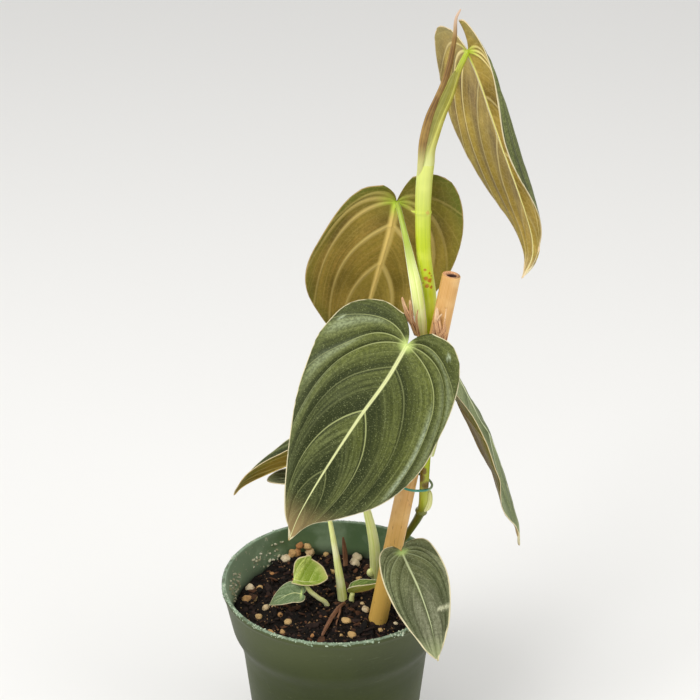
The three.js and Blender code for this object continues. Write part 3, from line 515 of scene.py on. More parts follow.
seedlingShoots = [{"route": [[-1.6, 5, 64, 1.2], [-3.9, 2.9, 78, 1.2], [-8.1, 1, 83.4, 1.1],
                             [-12, 0.2, 87.8, 1.1], [-14.2, 1, 91.6, 0.9]]}]
dryLeftShoots = [
    {"route": [[35.8, -15.3, 225, 1.3, 0.5], [32.9, -15.9, 232, 1.1, 0.5], [30.2, -16, 238, 0.8, 0.4],
               [28.7, -16, 243, 0.4, 0.35]], "ribs": 0.12, "ribCount": 5},
    {"route": [[33.4, -15.9, 231, 0.9, 0.45], [32.6, -16.4, 236, 0.8, 0.45], [32, -16.6, 242, 0.4, 0.35]],
     "ribs": 0.12, "ribCount": 5},
    {"route": [[36.4, -16.2, 224, 0.5, 0.3], [35.4, -16.6, 229, 0.6, 0.3], [34.9, -17, 234, 0.4, 0.25],
               [35.4, -17.2, 238, 0.15, 0.15]], "ribs": 0.2, "ribCount": 3},
    {"route": [[34.8, -15.6, 227, 0.4, 0.3], [31.4, -16.4, 233, 0.5, 0.25], [29.6, -16.8, 236.5, 0.15, 0.15]],
     "ribs": 0.2, "ribCount": 3},
]
dryRightShoots = [
    {"route": [[47, -21.3, 221.5, 0.6, 0.4], [44.8, -21.45, 227.5, 1.5, 0.5], [43.5, -20.9, 234, 1.3, 0.5],
               [43, -21.2, 240.5, 0.4, 0.35]], "ribs": 0.12, "ribCount": 5},
    {"route": [[43.2, -20.6, 222, 0.7, 0.4], [43.8, -22, 226, 1, 0.4], [45.9, -22.4, 230, 0.9, 0.35],
               [46.6, -22.4, 233.5, 0.3, 0.2]], "ribs": 0.2, "ribCount": 4},
    {"route": [[42.6, -19.6, 224, 0.6, 0.4], [42.4, -20.4, 230, 0.7, 0.4], [43.6, -21.4, 235.4, 0.5, 0.3],
               [45.2, -22, 238, 0.2, 0.2]], "ribs": 0.2, "ribCount": 4},
    {"route": [[45.6, -22, 223, 0.5, 0.3], [46.8, -22.4, 226.4, 0.8, 0.3], [47.6, -22, 229, 0.3, 0.2]],
     "ribs": 0.2, "ribCount": 3},
    {"route": [[44.8, -21.8, 222, 0.5, 0.3], [45.8, -22.5, 227.6, 0.6, 0.3], [46.3, -22.6, 234, 0.4, 0.25],
               [46.8, -22.6, 240.6, 0.15, 0.15]], "ribs": 0.2, "ribCount": 3},
    {"route": [[43, -20.4, 222, 0.5, 0.3], [41.8, -20, 227, 0.7, 0.35], [42.2, -20.2, 231, 0.5, 0.3],
               [41.4, -19.8, 234, 0.15, 0.15]], "ribs": 0.2, "ribCount": 3},
]
dryRootShoots = [
    {"route": [[4.6, 4.4, 78.4, 0.8], [1.6, -2, 79.6, 1], [-2, -11, 79.4, 1], [-5.9, -21.6, 77.6, 0.7]],
     "facing": [0, 0, 1], "ribs": 0.08, "ribCount": 4},
    {"route": [[2.4, -0.6, 79.6, 0.5], [2.2, -6, 79.9, 0.5], [1, -11, 79.3, 0.4], [0.6, -14.5, 78.5, 0.25]],
     "facing": [0, 0, 1], "ribs": 0.08, "ribCount": 4},
]
dryStubShoots = [{"route": [[5, 38, 70, 1, 0.7], [4.8, 37, 82, 1.2, 0.7], [4.2, 36, 90, 1, 0.6],
                            [3.6, 35, 96, 0.4, 0.4]], "ribs": 0.1, "ribCount": 5}]


# Shader helpers

def setInputs(tree, node, inputs):
    # Each input gets a link or a plain value
    for key, value in inputs.items():
        if isinstance(value, bpy.types.NodeSocket):
            tree.links.new(value, node.inputs[key])
        else:
            node.inputs[key].default_value = value


def addNode(tree, kind, settings=None, inputs=None):
    made = tree.nodes.new(kind)
    for key, value in (settings or {}).items():
        setattr(made, key, value)
    setInputs(tree, made, inputs or {})
    return made


def calc(tree, operation, *values):
    return addNode(tree, "ShaderNodeMath", {"operation": operation}, dict(enumerate(values))).outputs[0]


def times(tree, first, second):
    return calc(tree, "MULTIPLY", first, second)


def plus(tree, first, second):
    return calc(tree, "ADD", first, second)


def minus(tree, first, second):
    return calc(tree, "SUBTRACT", first, second)


def ramp(tree, value, low, high, start=0.0, end=1.0):
    # A smooth step from start to end as the value goes from low to high
    inputs = {"Value": value, "From Min": low, "From Max": high, "To Min": start, "To Max": end}
    return addNode(tree, "ShaderNodeMapRange", {"interpolation_type": "SMOOTHSTEP"}, inputs).outputs[0]


def mixColors(tree, factor, first, second):
    return addNode(tree, "ShaderNodeMix", {"data_type": "RGBA"}, {0: factor, 6: first, 7: second}).outputs[2]


def tint(tree, color, share, strength, other):
    # The colour with this much of another mixed in, where share says
    return mixColors(tree, times(tree, share, strength), color, other)


def attribute(tree, name):
    return addNode(tree, "ShaderNodeAttribute", {"attribute_name": name}).outputs["Fac"]


def place(tree):
    return addNode(tree, "ShaderNodeTexCoord").outputs["Object"]


def noiseAt(tree, where, scale, detail=4.0, roughness=0.55):
    inputs = {"Vector": where, "Scale": scale, "Detail": detail, "Roughness": roughness}
    return addNode(tree, "ShaderNodeTexNoise", {}, inputs).outputs["Fac"]


def rgb(red, green, blue):
    # A colour given as it looks on a screen, 0 to 255
    linear = [v / 255 / 12.92 if v <= 10 else ((v / 255 + 0.055) / 1.055) ** 2.4 for v in (red, green, blue)]
    return (*linear, 1.0)


def surface(name):
    material = bpy.data.materials.new(name)
    material.use_nodes = True
    tree = material.node_tree
    shader = tree.nodes["Principled BSDF"]
    return material, tree, shader


def nodeGroup(name, inputs, outputs):
    # A group whose inputs, given with their usual values, and outputs are all plain numbers
    group = bpy.data.node_groups.new(name, "ShaderNodeTree")
    kind = "NodeSocketFloat"
    for label, value in inputs.items():
        group.interface.new_socket(name=label, in_out="INPUT", socket_type=kind).default_value = value
    for label in outputs:
        group.interface.new_socket(name=label, in_out="OUTPUT", socket_type=kind)
    return group, group.nodes.new("NodeGroupInput"), group.nodes.new("NodeGroupOutput")


def useGroup(tree, group, inputs=None):
    return addNode(tree, "ShaderNodeGroup", {"node_tree": group}, inputs)


def bump(tree, shader, height, distance, strength):
    made = addNode(tree, "ShaderNodeBump", {}, {"Height": height, "Distance": distance, "Strength": strength})
    tree.links.new(made.outputs[0], shader.inputs["Normal"])


# Where a blade's veins, midrib, pale margin, joint and pleats are, from its own vein lines, and a painted
# sheen band past each vein
def makeVeinGroup():
    inputs = {"Vein Width": 0.35, "Rib Width": 0.6, "Rim Width": 0.35, "Joint Size": 0.05}
    group, given, result = nodeGroup("bladeVeins", inputs, [
        "Veins", "Minor", "Rib", "Rim", "Band", "Pleats", "Joint", "Network", "Edge"])
    uv = addNode(group, "ShaderNodeUVMap", {"uv_map": "surface"}).outputs[0]
    split = addNode(group, "ShaderNodeSeparateXYZ", {}, {0: uv})
    vein = times(group, split.outputs[0], float(veinNumbers))
    column = split.outputs[1]
    gap = attribute(group, "veinGap")
    along = attribute(group, "alongLeaf")
    offset = calc(group, "ABSOLUTE", minus(group, vein, calc(group, "ROUND", vein)))
    distance = times(group, offset, gap)
    width = times(group, given.outputs["Vein Width"], ramp(group, column, 0.0, 1.0, 1.0, 0.4))
    veins = ramp(group, distance, times(group, width, 0.4), times(group, width, 2.2), 1.0, 0.0)
    veins = times(group, veins, attribute(group, "veinPower"))
    veins = times(group, veins, ramp(group, column, 0.1, 1.0, 1.0, 0.5))
    wideOpen = ramp(group, gap, 2.0, 8.0)
    fromMiddle = times(group, minus(group, 0.5, offset), gap)
    minor = times(group, ramp(group, fromMiddle, 0.05, 0.5, 1.0, 0.0), wideOpen)
    # A soft painted sheen band that starts at each vein and fades on its way to the next one, leaving painted
    # shade before it
    past = minus(group, vein, calc(group, "FLOOR", vein))
    sheenBand = times(group, ramp(group, past, 0.01, 0.12), ramp(group, past, 0.1, 0.95, 1.0, 0.0))
    sheenBand = times(group, sheenBand, attribute(group, "bandPower"))
    pleatPlace = addNode(group, "ShaderNodeCombineXYZ", {}, {
        0: times(group, vein, 13.0), 1: times(group, column, 2.2),
        2: times(group, attribute(group, "half"), 7.0)}).outputs[0]
    pleats = ramp(group, noiseAt(group, pleatPlace, 1.0, 5.0, 0.6), 0.34, 0.68)
    ribWidth = times(group, given.outputs["Rib Width"], ramp(group, along, 0.0, 1.0, 1.0, 0.25))
    rib = ramp(group, attribute(group, "ribDistance"), times(group, ribWidth, 0.5),
               times(group, ribWidth, 1.8), 1.0, 0.0)
    rib = times(group, rib, ramp(group, along, -0.01, 0.0))
    rimDistance = attribute(group, "rimDistance")
    rim = ramp(group, rimDistance, given.outputs["Rim Width"], times(group, given.outputs["Rim Width"], 1.8),
               1.0, 0.0)
    edge = ramp(group, rimDistance, 0.0, 7.0, 1.0, 0.0)
    sideways = calc(group, "DIVIDE", attribute(group, "ribDistance"), 100.0)
    squares = plus(group, calc(group, "POWER", along, 2.0), calc(group, "POWER", sideways, 2.0))
    fromJoint = calc(group, "POWER", squares, 0.5)
    joint = ramp(group, fromJoint, 0.0, given.outputs["Joint Size"], 1.0, 0.0)
    cells = addNode(group, "ShaderNodeTexVoronoi", {"feature": "DISTANCE_TO_EDGE"},
                    {"Vector": place(group), "Scale": 420.0, "Randomness": 1.0})
    network = ramp(group, cells.outputs["Distance"], 0.0, 0.09, 1.0, 0.0)
    setInputs(group, result, {
        "Veins": veins, "Minor": minor, "Rib": rib, "Rim": rim, "Band": sheenBand, "Pleats": pleats,
        "Joint": joint, "Network": network, "Edge": edge})
    return group


# Fine and broad unevenness of colour, for every living or worn surface
def makeMottleGroup():
    group, given, result = nodeGroup("mottle", {"Fine Scale": 900.0, "Broad Scale": 60.0},
                                     ["Fine", "Broad", "Specks"])
    where = place(group)
    fine = noiseAt(group, where, given.outputs["Fine Scale"], 3.0, 0.6)
    broad = noiseAt(group, where, given.outputs["Broad Scale"], 3.0, 0.5)
    speckScale = times(group, given.outputs["Fine Scale"], 2.6)
    specks = ramp(group, noiseAt(group, where, speckScale, 1.0, 0.5), 0.6, 0.74)
    setInputs(group, result, {"Fine": fine, "Broad": broad, "Specks": specks})
    return group


# Streaks that run the length of a stalk, cane or scrap
def makeFibreGroup():
    group, given, result = nodeGroup("fibres", {"Across": 30.0, "Along": 4.0}, ["Fibres", "Around"])
    uv = addNode(group, "ShaderNodeUVMap", {"uv_map": "surface"}).outputs[0]
    split = addNode(group, "ShaderNodeSeparateXYZ", {}, {0: uv})
    turn = times(group, split.outputs[0], 2 * math.pi)
    ring = times(group, given.outputs["Across"], 0.16)
    where = addNode(group, "ShaderNodeCombineXYZ", {}, {
        0: times(group, calc(group, "COSINE", turn), ring),
        1: times(group, calc(group, "SINE", turn), ring),
        2: times(group, split.outputs[1], given.outputs["Along"])})
    fibres = noiseAt(group, where.outputs[0], 1.0, 5.0, 0.65)
    setInputs(group, result, {"Fibres": fibres, "Around": split.outputs[0]})
    return group


veinGroup, mottleGroup, fibreGroup = makeVeinGroup(), makeMottleGroup(), makeFibreGroup()

# Upper faces: dark velvet, pleated along the veins, with a grey-green painted sheen where a pleat would turn
# to the light
velvetLook = {
    "dark": rgb(40, 47, 12), "light": rgb(96, 103, 42), "paintedSheen": rgb(152, 160, 106),
    "vein": rgb(172, 178, 116), "rib": rgb(216, 220, 158), "joint": rgb(218, 238, 140),
    "rim": rgb(222, 212, 172), "tip": rgb(162, 138, 92), "streak": rgb(178, 190, 156),
}


def velvetMaterial(name, look, veinWidth=0.22, ribWidth=0.62, rimWidth=0.3, pleat=0.24):
    material, tree, shader = surface(name)
    veins = useGroup(tree, veinGroup, {"Vein Width": veinWidth, "Rib Width": ribWidth, "Rim Width": rimWidth,
                                       "Joint Size": 0.048})
    mottle = useGroup(tree, mottleGroup, {"Fine Scale": 900.0, "Broad Scale": 30.0})
    pleats = times(tree, veins.outputs["Pleats"], pleat)
    # Painted light past each vein and on the pleats, fading to painted shade before the next vein
    tone = plus(tree, times(tree, veins.outputs["Band"], 0.66), pleats)
    tone = plus(tree, tone, ramp(tree, mottle.outputs["Broad"], 0.35, 0.7, -0.06, 0.2))
    # Painted light near the joint, fading to painted shade towards the tip
    tone = plus(tree, tone, ramp(tree, attribute(tree, "alongLeaf"), -0.15, 0.75, 0.2, -0.2))
    # Painted shade marks darken the tone, and lighten it where negative
    tone = minus(tree, tone, attribute(tree, "shade"))
    color = mixColors(tree, ramp(tree, tone, 0.0, 0.95), look["dark"], look["light"])
    # Painted sheen where a pleat meets the sheen band, and a little along the margin
    paintedSheen = times(tree, times(tree, veins.outputs["Band"], veins.outputs["Pleats"]), 0.34)
    paintedSheen = plus(tree, paintedSheen, times(tree, veins.outputs["Edge"], 0.08))
    color = mixColors(tree, paintedSheen, color, look["paintedSheen"])
    # Painted sheen streaks, and the pale scars, in one pale colour
    color = mixColors(tree, attribute(tree, "streak"), color, look["streak"])
    fine = times(tree, ramp(tree, mottle.outputs["Fine"], 0.42, 0.6), 0.45)
    color = mixColors(tree, fine, color, look["dark"])
    color = tint(tree, color, mottle.outputs["Specks"], 0.5, look["paintedSheen"])
    tip = ramp(tree, attribute(tree, "alongLeaf"), 0.76, 0.97, 0.0, 0.85)
    color = mixColors(tree, tip, color, look["tip"])
    color = tint(tree, color, veins.outputs["Minor"], 0.09, look["vein"])
    color = tint(tree, color, veins.outputs["Veins"], 0.85, look["vein"])
    color = mixColors(tree, veins.outputs["Rib"], color, look["rib"])
    color = tint(tree, color, veins.outputs["Joint"], 0.75, look["joint"])
    color = mixColors(tree, veins.outputs["Rim"], color, look["rim"])
    setInputs(tree, shader, {"Base Color": color, "Roughness": 0.6, "Specular IOR Level": 0.2,
                             "Sheen Weight": 0.07, "Sheen Roughness": 0.4, "Sheen Tint": rgb(214, 224, 180)})
    height = plus(tree, mottle.outputs["Fine"], times(tree, veins.outputs["Network"], -0.3))
    height = plus(tree, height, times(tree, veins.outputs["Pleats"], 5 * pleat))
    bump(tree, shader, height, 0.00014, 0.6)
    return material


underLook = {
    "dark": rgb(104, 86, 22), "light": rgb(152, 132, 44), "vein": rgb(196, 174, 98),
    "rib": rgb(214, 186, 104), "joint": rgb(184, 210, 62), "rim": rgb(176, 150, 96),
    "edge": rgb(96, 104, 26), "warm": rgb(172, 132, 66),
}


def underMaterial(name, look, veinWidth=0.6, ribWidth=0.75, rimWidth=0.25, jointSize=0.11):
    material, tree, shader = surface(name)
    veins = useGroup(tree, veinGroup, {"Vein Width": veinWidth, "Rib Width": ribWidth, "Rim Width": rimWidth,
                                       "Joint Size": jointSize})
    mottle = useGroup(tree, mottleGroup, {"Fine Scale": 700.0, "Broad Scale": 34.0})
    # Painted light past each vein, fading to painted shade before the next, with pleats and broad tone
    tone = plus(tree, times(tree, veins.outputs["Band"], 0.5),
                times(tree, veins.outputs["Pleats"], 0.12))
    tone = plus(tree, tone, ramp(tree, mottle.outputs["Broad"], 0.35, 0.65, 0.0, 0.4))
    # Painted shade marks darken the tone, and lighten it where negative
    tone = minus(tree, tone, attribute(tree, "shade"))
    color = mixColors(tree, calc(tree, "MAXIMUM", tone, 0.0), look["dark"], look["light"])
    warm = times(tree, ramp(tree, mottle.outputs["Broad"], 0.42, 0.66), veins.outputs["Pleats"])
    color = tint(tree, color, warm, 0.4, look["warm"])
    green = plus(tree, times(tree, veins.outputs["Edge"], 0.5),
                 ramp(tree, attribute(tree, "alongLeaf"), -0.06, 0.14, 0.45, 0.0))
    color = mixColors(tree, green, color, look["edge"])
    color = tint(tree, color, veins.outputs["Network"], 0.1, look["vein"])
    color = tint(tree, color, ramp(tree, mottle.outputs["Fine"], 0.4, 0.62), 0.22, look["dark"])
    nearJoint = veins.outputs["Joint"]
    veinColor = mixColors(tree, nearJoint, look["vein"], look["joint"])
    ribColor = mixColors(tree, nearJoint, look["rib"], look["joint"])
    color = tint(tree, color, veins.outputs["Minor"], 0.08, veinColor)
    color = tint(tree, color, veins.outputs["Veins"], 0.8, veinColor)
    color = mixColors(tree, veins.outputs["Rib"], color, ribColor)
    color = mixColors(tree, ramp(tree, attribute(tree, "alongLeaf"), 0.88, 1.0, 0.0, 0.6), color, look["rim"])
    color = mixColors(tree, veins.outputs["Rim"], color, look["rim"])
    setInputs(tree, shader, {"Base Color": color, "Roughness": 0.48, "Specular IOR Level": 0.24})
    height = plus(tree, mottle.outputs["Fine"], times(tree, veins.outputs["Pleats"], 0.7))
    bump(tree, shader, height, 0.00012, 0.5)
    return material


def rimMaterial(name, color):
    material, tree, shader = surface(name)
    mottle = useGroup(tree, mottleGroup)
    mixed = tint(tree, color, mottle.outputs["Broad"], 0.5, rgb(176, 150, 108))
    setInputs(tree, shader, {"Base Color": mixed, "Roughness": 0.55})
    return material


def heightOf(tree):
    return addNode(tree, "ShaderNodeSeparateXYZ", {}, {0: place(tree)}).outputs[2]


def spotsAt(tree, spots):
    # Soft-edged marks at x, y, z, each with its own reach
    marks = 0.0
    where = place(tree)
    ragged = times(tree, minus(tree, noiseAt(tree, where, 1500.0, 3.0, 0.6), 0.5), 1.6 * mm)
    for x, y, z, reach in spots:
        spot = (x * mm, y * mm, z * mm)
        away = addNode(tree, "ShaderNodeVectorMath", {"operation": "DISTANCE"}, {0: where, 1: spot})
        away = plus(tree, away.outputs["Value"], ragged)
        marks = calc(tree, "MAXIMUM", marks, ramp(tree, away, 0.55 * reach * mm, reach * mm, 1.0, 0.0))
    return marks


def stalkMaterial(name, colors, roughness=0.4, across=30.0, along=4.0, bumpHeight=0.0001, zones=(),
                  marks=(), edges=None):
    # Zones are a height in metres where a colour starts, one where it is full, its share and the colour.
    # Marks are sets of spots with a colour. Edges colour the two narrow sides of a flat stalk.
    material, tree, shader = surface(name)
    fibres = useGroup(tree, fibreGroup, {"Across": across, "Along": along})
    mottle = useGroup(tree, mottleGroup, {"Fine Scale": 800.0, "Broad Scale": 90.0})
    color = mixColors(tree, ramp(tree, fibres.outputs["Fibres"], 0.35, 0.65), colors[0], colors[1])
    color = tint(tree, color, ramp(tree, mottle.outputs["Broad"], 0.45, 0.7), 0.6, colors[2])
    for start, full, share, zone in zones:
        height = plus(tree, heightOf(tree), times(tree, mottle.outputs["Broad"], 0.003))
        low, high = sorted((start, full))
        shares = (0.0, share) if full > start else (share, 0.0)
        color = mixColors(tree, ramp(tree, height, low, high, *shares), color, zone)
    if edges is not None:
        turn = calc(tree, "COSINE", times(tree, fibres.outputs["Around"], 2 * math.pi))
        narrow = ramp(tree, calc(tree, "ABSOLUTE", turn), 0.86, 0.98, 0.0, 0.8)
        color = mixColors(tree, narrow, color, edges)
    for spots, markColor in marks:
        color = tint(tree, color, spotsAt(tree, spots), 0.9, markColor)
    setInputs(tree, shader, {"Base Color": color, "Roughness": roughness})
    bump(tree, shader, fibres.outputs["Fibres"], bumpHeight, 0.7)
    return material, tree, shader, color


velvet = velvetMaterial("velvetUpperFace", velvetLook)
underside = underMaterial("bronzeUnderside", underLook)
backUnderLook = dict(underLook, dark=rgb(94, 78, 16), light=rgb(170, 148, 58), vein=rgb(208, 184, 108),
                     edge=rgb(92, 100, 22), warm=rgb(178, 138, 66))
backUnderside = underMaterial("broadVeinedUnderside", backUnderLook, 0.8, 1.5)
topUnderLook = dict(underLook, dark=rgb(98, 76, 12), light=rgb(206, 178, 78), vein=rgb(248, 228, 156),
                    rib=rgb(246, 242, 146), joint=rgb(196, 222, 60), rim=rgb(226, 202, 162),
                    edge=rgb(150, 134, 62), warm=rgb(192, 158, 92))
topUnderside = underMaterial("tanUnderside", topUnderLook, 0.4, 0.42, 0.3, 0.09)
paleRim = rimMaterial("paleLeafMargin", rgb(220, 208, 168))
bronzeRim = rimMaterial("bronzeLeafMargin", rgb(150, 128, 70))
youngLook = dict(velvetLook, dark=rgb(126, 148, 42), light=rgb(210, 222, 112), paintedSheen=rgb(214, 222, 146),
                 vein=rgb(214, 222, 146), rim=rgb(206, 196, 142), tip=rgb(176, 180, 96))
young = velvetMaterial("youngUpperFace", youngLook, 0.1, 0.3, 0.3, 0.1)
youngUnderLook = dict(underLook, dark=rgb(156, 180, 44), light=rgb(202, 222, 92), edge=rgb(160, 188, 56),
                      warm=rgb(206, 218, 104))
youngUnder = underMaterial("youngUnderside", youngUnderLook, 0.2, 0.35, 0.1)
greyLook = dict(velvetLook, dark=rgb(92, 112, 70), light=rgb(126, 144, 100), paintedSheen=rgb(176, 190, 152),
                vein=rgb(190, 202, 158), tip=rgb(120, 132, 90))
greyYoung = velvetMaterial("greyYoungUpperFace", greyLook, 0.08, 0.2, 0.14, 0.1)
lowLook = dict(velvetLook, dark=rgb(58, 64, 28), light=rgb(124, 130, 86), paintedSheen=rgb(170, 176, 140),
               vein=rgb(170, 178, 134), rib=rgb(186, 194, 148), joint=rgb(190, 214, 120),
               tip=rgb(164, 172, 126), streak=rgb(204, 204, 170))
lowVelvet = velvetMaterial("lowLeafUpperFace", lowLook, 0.26, 0.45, 0.4, 0.2)

bladeMaterials = [velvet, underside, paleRim]
backMaterials = [velvet, backUnderside, bronzeRim]
topMaterials = [velvet, topUnderside, paleRim]
youngMaterials = [young, youngUnder, paleRim]
sideMaterials = [greyYoung, youngUnder, paleRim]
sproutLook = dict(velvetLook, dark=rgb(70, 96, 26), light=rgb(120, 144, 54), rim=rgb(226, 220, 180))
sproutUnderLook = dict(underLook, dark=rgb(204, 220, 84), light=rgb(234, 244, 130), edge=rgb(206, 224, 100),
                       warm=rgb(230, 238, 134), vein=rgb(236, 240, 160), rim=rgb(236, 232, 190))
sproutMaterials = [velvetMaterial("sproutUpperFace", sproutLook, 0.14, 0.25, 0.2, 0.1),
                   underMaterial("sproutUnderside", sproutUnderLook, 0.2, 0.35, 0.2), paleRim]
lowMaterials = [lowVelvet, underside, paleRim]
# The right leaf: its upper face a lighter copy of the low leaf's look, as painted light, and its underside a
# darker copy of the underside look, as painted shade
sunLook = dict(lowLook, dark=rgb(78, 90, 46), light=rgb(140, 150, 100), rib=rgb(206, 214, 168),
               vein=rgb(206, 214, 176))
shadeLook = dict(underLook, dark=rgb(84, 66, 22), light=rgb(124, 104, 42), joint=rgb(206, 216, 70))
rightMaterials = [velvetMaterial("rightLeafPaintedLightFace", sunLook, 0.36, 0.5, 0.35, 0.2),
                  underMaterial("rightLeafPaintedShadeUnderside", shadeLook, 0.4, 0.6, 0.3, 0.2), paleRim]
print("materials made")

blades = {
    "topBlade": (topLeaf, topMaterials, "velvet_leaf", "top_blade"),
    "backBlade": (backLeaf, backMaterials, "velvet_leaf", "back_blade"),
    "frontBlade": (frontLeaf, bladeMaterials, "velvet_leaf", "front_blade"),
    "rightBlade": (rightLeaf, rightMaterials, "velvet_leaf", "right_blade"),
    "leftBlade": (leftLeaf, bladeMaterials, "velvet_leaf", "left_blade"),
    "smallLeftBlade": (smallLeftLeaf, lowMaterials, "velvet_leaf", "small_left_blade"),
    "lowBlade": (lowLeaf, lowMaterials, "velvet_leaf", "low_blade"),
    "sproutBlade": (sproutLeaf, sproutMaterials, "young_leaf", "sprout_blade"),
    "seedlingCupBlade": (cupLeaf, youngMaterials, "young_leaf", "seedling_cup_blade"),
    "seedlingSideBlade": (sideLeaf, sideMaterials, "young_leaf", "seedling_side_blade"),
}
for name, (leaf, materials, slot, node) in blades.items():
    finishPiece(bladePiece(name, leaf, materials), slot, node)
print("leaves made")

stemScars = [[38.3, -10.4, 253, 0.8], [40.4, -10.2, 251.4, 0.8], [38.7, -10.4, 249.1, 1.2],
             [40.4, -10.2, 248.2, 1.2], [39.3, -10.4, 245.9, 1.2], [41, -10, 245.2, 0.9],
             [37.4, -10.2, 246.8, 0.6], [41.2, -9.8, 250, 0.6]]
ringStains = [[32.3, -8.6, 277, 1.3], [34, -10.2, 277.2, 0.8], [36.6, -10.4, 277, 0.9],
              [38.8, -8.6, 277.4, 1.2]]
nodeBlots = [[37.6, -12.4, 155.4, 3.2], [40.6, -12.2, 151.6, 2.6], [39.4, -12.4, 158.4, 2.2]]
limeStem = stalkMaterial(
    "limeStem", [rgb(194, 208, 30), rgb(172, 190, 12), rgb(212, 222, 80)], 0.36, 24.0, 2.0, 0.00006,
    zones=[[0.262, 0.296, 0.5, rgb(222, 224, 150)], [0.163, 0.156, 0.6, rgb(158, 156, 52)],
           [0.145, 0.135, 0.9, rgb(76, 82, 20)]],
    marks=[[stemScars, rgb(176, 102, 6)], [nodeBlots, rgb(116, 84, 30)], [ringStains, rgb(196, 170, 70)]])[0]
limeStalk = stalkMaterial(
    "limeStalk", [rgb(216, 214, 96), rgb(160, 152, 54), rgb(226, 226, 132)], 0.38, 30.0, 1.4,
    zones=[[0.312, 0.299, 0.85, rgb(214, 220, 144)], [0.334, 0.343, 0.7, rgb(186, 214, 34)]])[0]
paleStalk = stalkMaterial(
    "paleStalk", [rgb(236, 240, 164), rgb(208, 224, 118), rgb(248, 250, 208)], 0.42, 30.0, 1.6,
    zones=[[0.25, 0.267, 0.9, rgb(152, 172, 36)]], edges=rgb(252, 252, 232))[0]
# A lighter copy of the pale stalk, as painted light on the stalks down in the pot's shade
paintedLightPotStalk = stalkMaterial(
    "paintedLightPotStalk", [rgb(246, 248, 178), rgb(222, 232, 130), rgb(252, 252, 212)], 0.42, 30.0, 1.6)[0]
budSkin = stalkMaterial("budSkin", [rgb(232, 228, 160), rgb(204, 208, 110), rgb(244, 240, 196)])[0]
wingSkin = stalkMaterial(
    "wingSkin", [rgb(184, 184, 84), rgb(130, 124, 42), rgb(198, 196, 104)], 0.42, 24.0, 1.2,
    zones=[[0.314, 0.301, 0.85, rgb(212, 212, 134)]])[0]
sheathSkin = stalkMaterial(
    "sheathSkin", [rgb(152, 116, 52), rgb(84, 52, 16), rgb(176, 144, 72)], 0.5, 20.0, 1.2,
    zones=[[0.31, 0.297, 0.9, rgb(204, 204, 128)], [0.35, 0.36, 0.7, rgb(228, 196, 170)]])[0]
dryScrap = stalkMaterial(
    "dryScrap", [rgb(246, 196, 142), rgb(116, 62, 32), rgb(252, 224, 182)], 0.8, 40.0, 9.0, 0.0003)[0]
dryWood = stalkMaterial(
    "dryRootSkin", [rgb(150, 104, 72), rgb(100, 64, 44), rgb(176, 130, 96)], 0.8, 30.0, 20.0, 0.0003)[0]

stalks = {
    "mainStem": (stemShoots, limeStem, "stem_green", "main_stem"),
    "newLeafSheath": (sheathShoots, sheathSkin, "leaf_sheath", "new_leaf_sheath"),
    "drySheathLeft": (dryLeftShoots, dryScrap, "dry_brown", "dry_sheath_left"),
    "drySheathRight": (dryRightShoots, dryScrap, "dry_brown", "dry_sheath_right"),
    "dryRoot": (dryRootShoots, dryWood, "dry_brown", "dry_root"),
    "dryStub": (dryStubShoots, dryWood, "dry_brown", "dry_stub"),
    "topPetiole": (topPetiole, limeStalk, "stalk_green", "top_petiole"),
    "backPetiole": (backPetiole, paleStalk, "stalk_green", "back_petiole"),
    "frontPetiole": (frontPetiole, paleStalk, "stalk_green", "front_petiole"),
    "rightPetiole": (rightPetiole, paleStalk, "stalk_green", "right_petiole"),
    "leftPetiole": (leftPetiole, paintedLightPotStalk, "stalk_green", "left_petiole"),
    "smallLeftPetiole": (smallLeftPetiole, paintedLightPotStalk, "stalk_green", "small_left_petiole"),
    "lowPetiole": (lowPetiole, paleStalk, "stalk_green", "low_petiole"),
    "sproutPetiole": (sproutPetiole, paintedLightPotStalk, "stalk_green", "sprout_petiole"),
    "seedlingStem": (seedlingShoots, paintedLightPotStalk, "stalk_green", "seedling_stem"),
}
for name, (shoots, material, slot, node) in stalks.items():
    finishPiece(shootPiece(name, shoots, material), slot, node)
finishPiece(shootPiece("stemBud", budShoots, budSkin), "stem_green")
finishPiece(shootPiece("petioleWing", wingShoots, wingSkin), "stalk_green")
print("stems made")


# Pot, a thin plastic one with crust on its rim

potForm = {
    "height": 95, "rim": 52.3, "lip": 53, "lipHeight": 2, "collarDepth": 23, "collarFoot": 48.4,
    "shoulderDepth": 36, "shoulder": 43.8, "flareOut": 1.6, "flareUp": 7, "base": 38, "footRound": 1.5,
    "wall": 1.2, "floor": 1.6, "holes": 8, "holeWidth": 8, "holeTop": 4.5, "holeInner": 31.5,
    "footRing": 16, "sides": 264, "spacing": 1.2, "cornerRound": 1.8,
    "unevenness": 0.12, "unevenFrom": 20, "unevenOver": 60,
}


def evenChain(points, spacing, rounding):
    # The chain with its corners drawn round, as even stations
    points = np.array(points, float)
    run = np.concatenate([[0], np.cumsum(np.linalg.norm(np.diff(points, axis=0), axis=1))])
    count = max(2, round(run[-1] / spacing) + 1)
    spots = np.linspace(0, run[-1], count)
    spread = np.linspace(-rounding, rounding, 9)
    free = np.minimum(1, np.minimum(spots, run[-1] - spots) / rounding)[:, None]
    near = np.clip(spots[:, None] + spread[None] * free, 0, run[-1])
    return np.stack([np.interp(near, run, points[:, i]).mean(axis=1) for i in range(2)], axis=1)


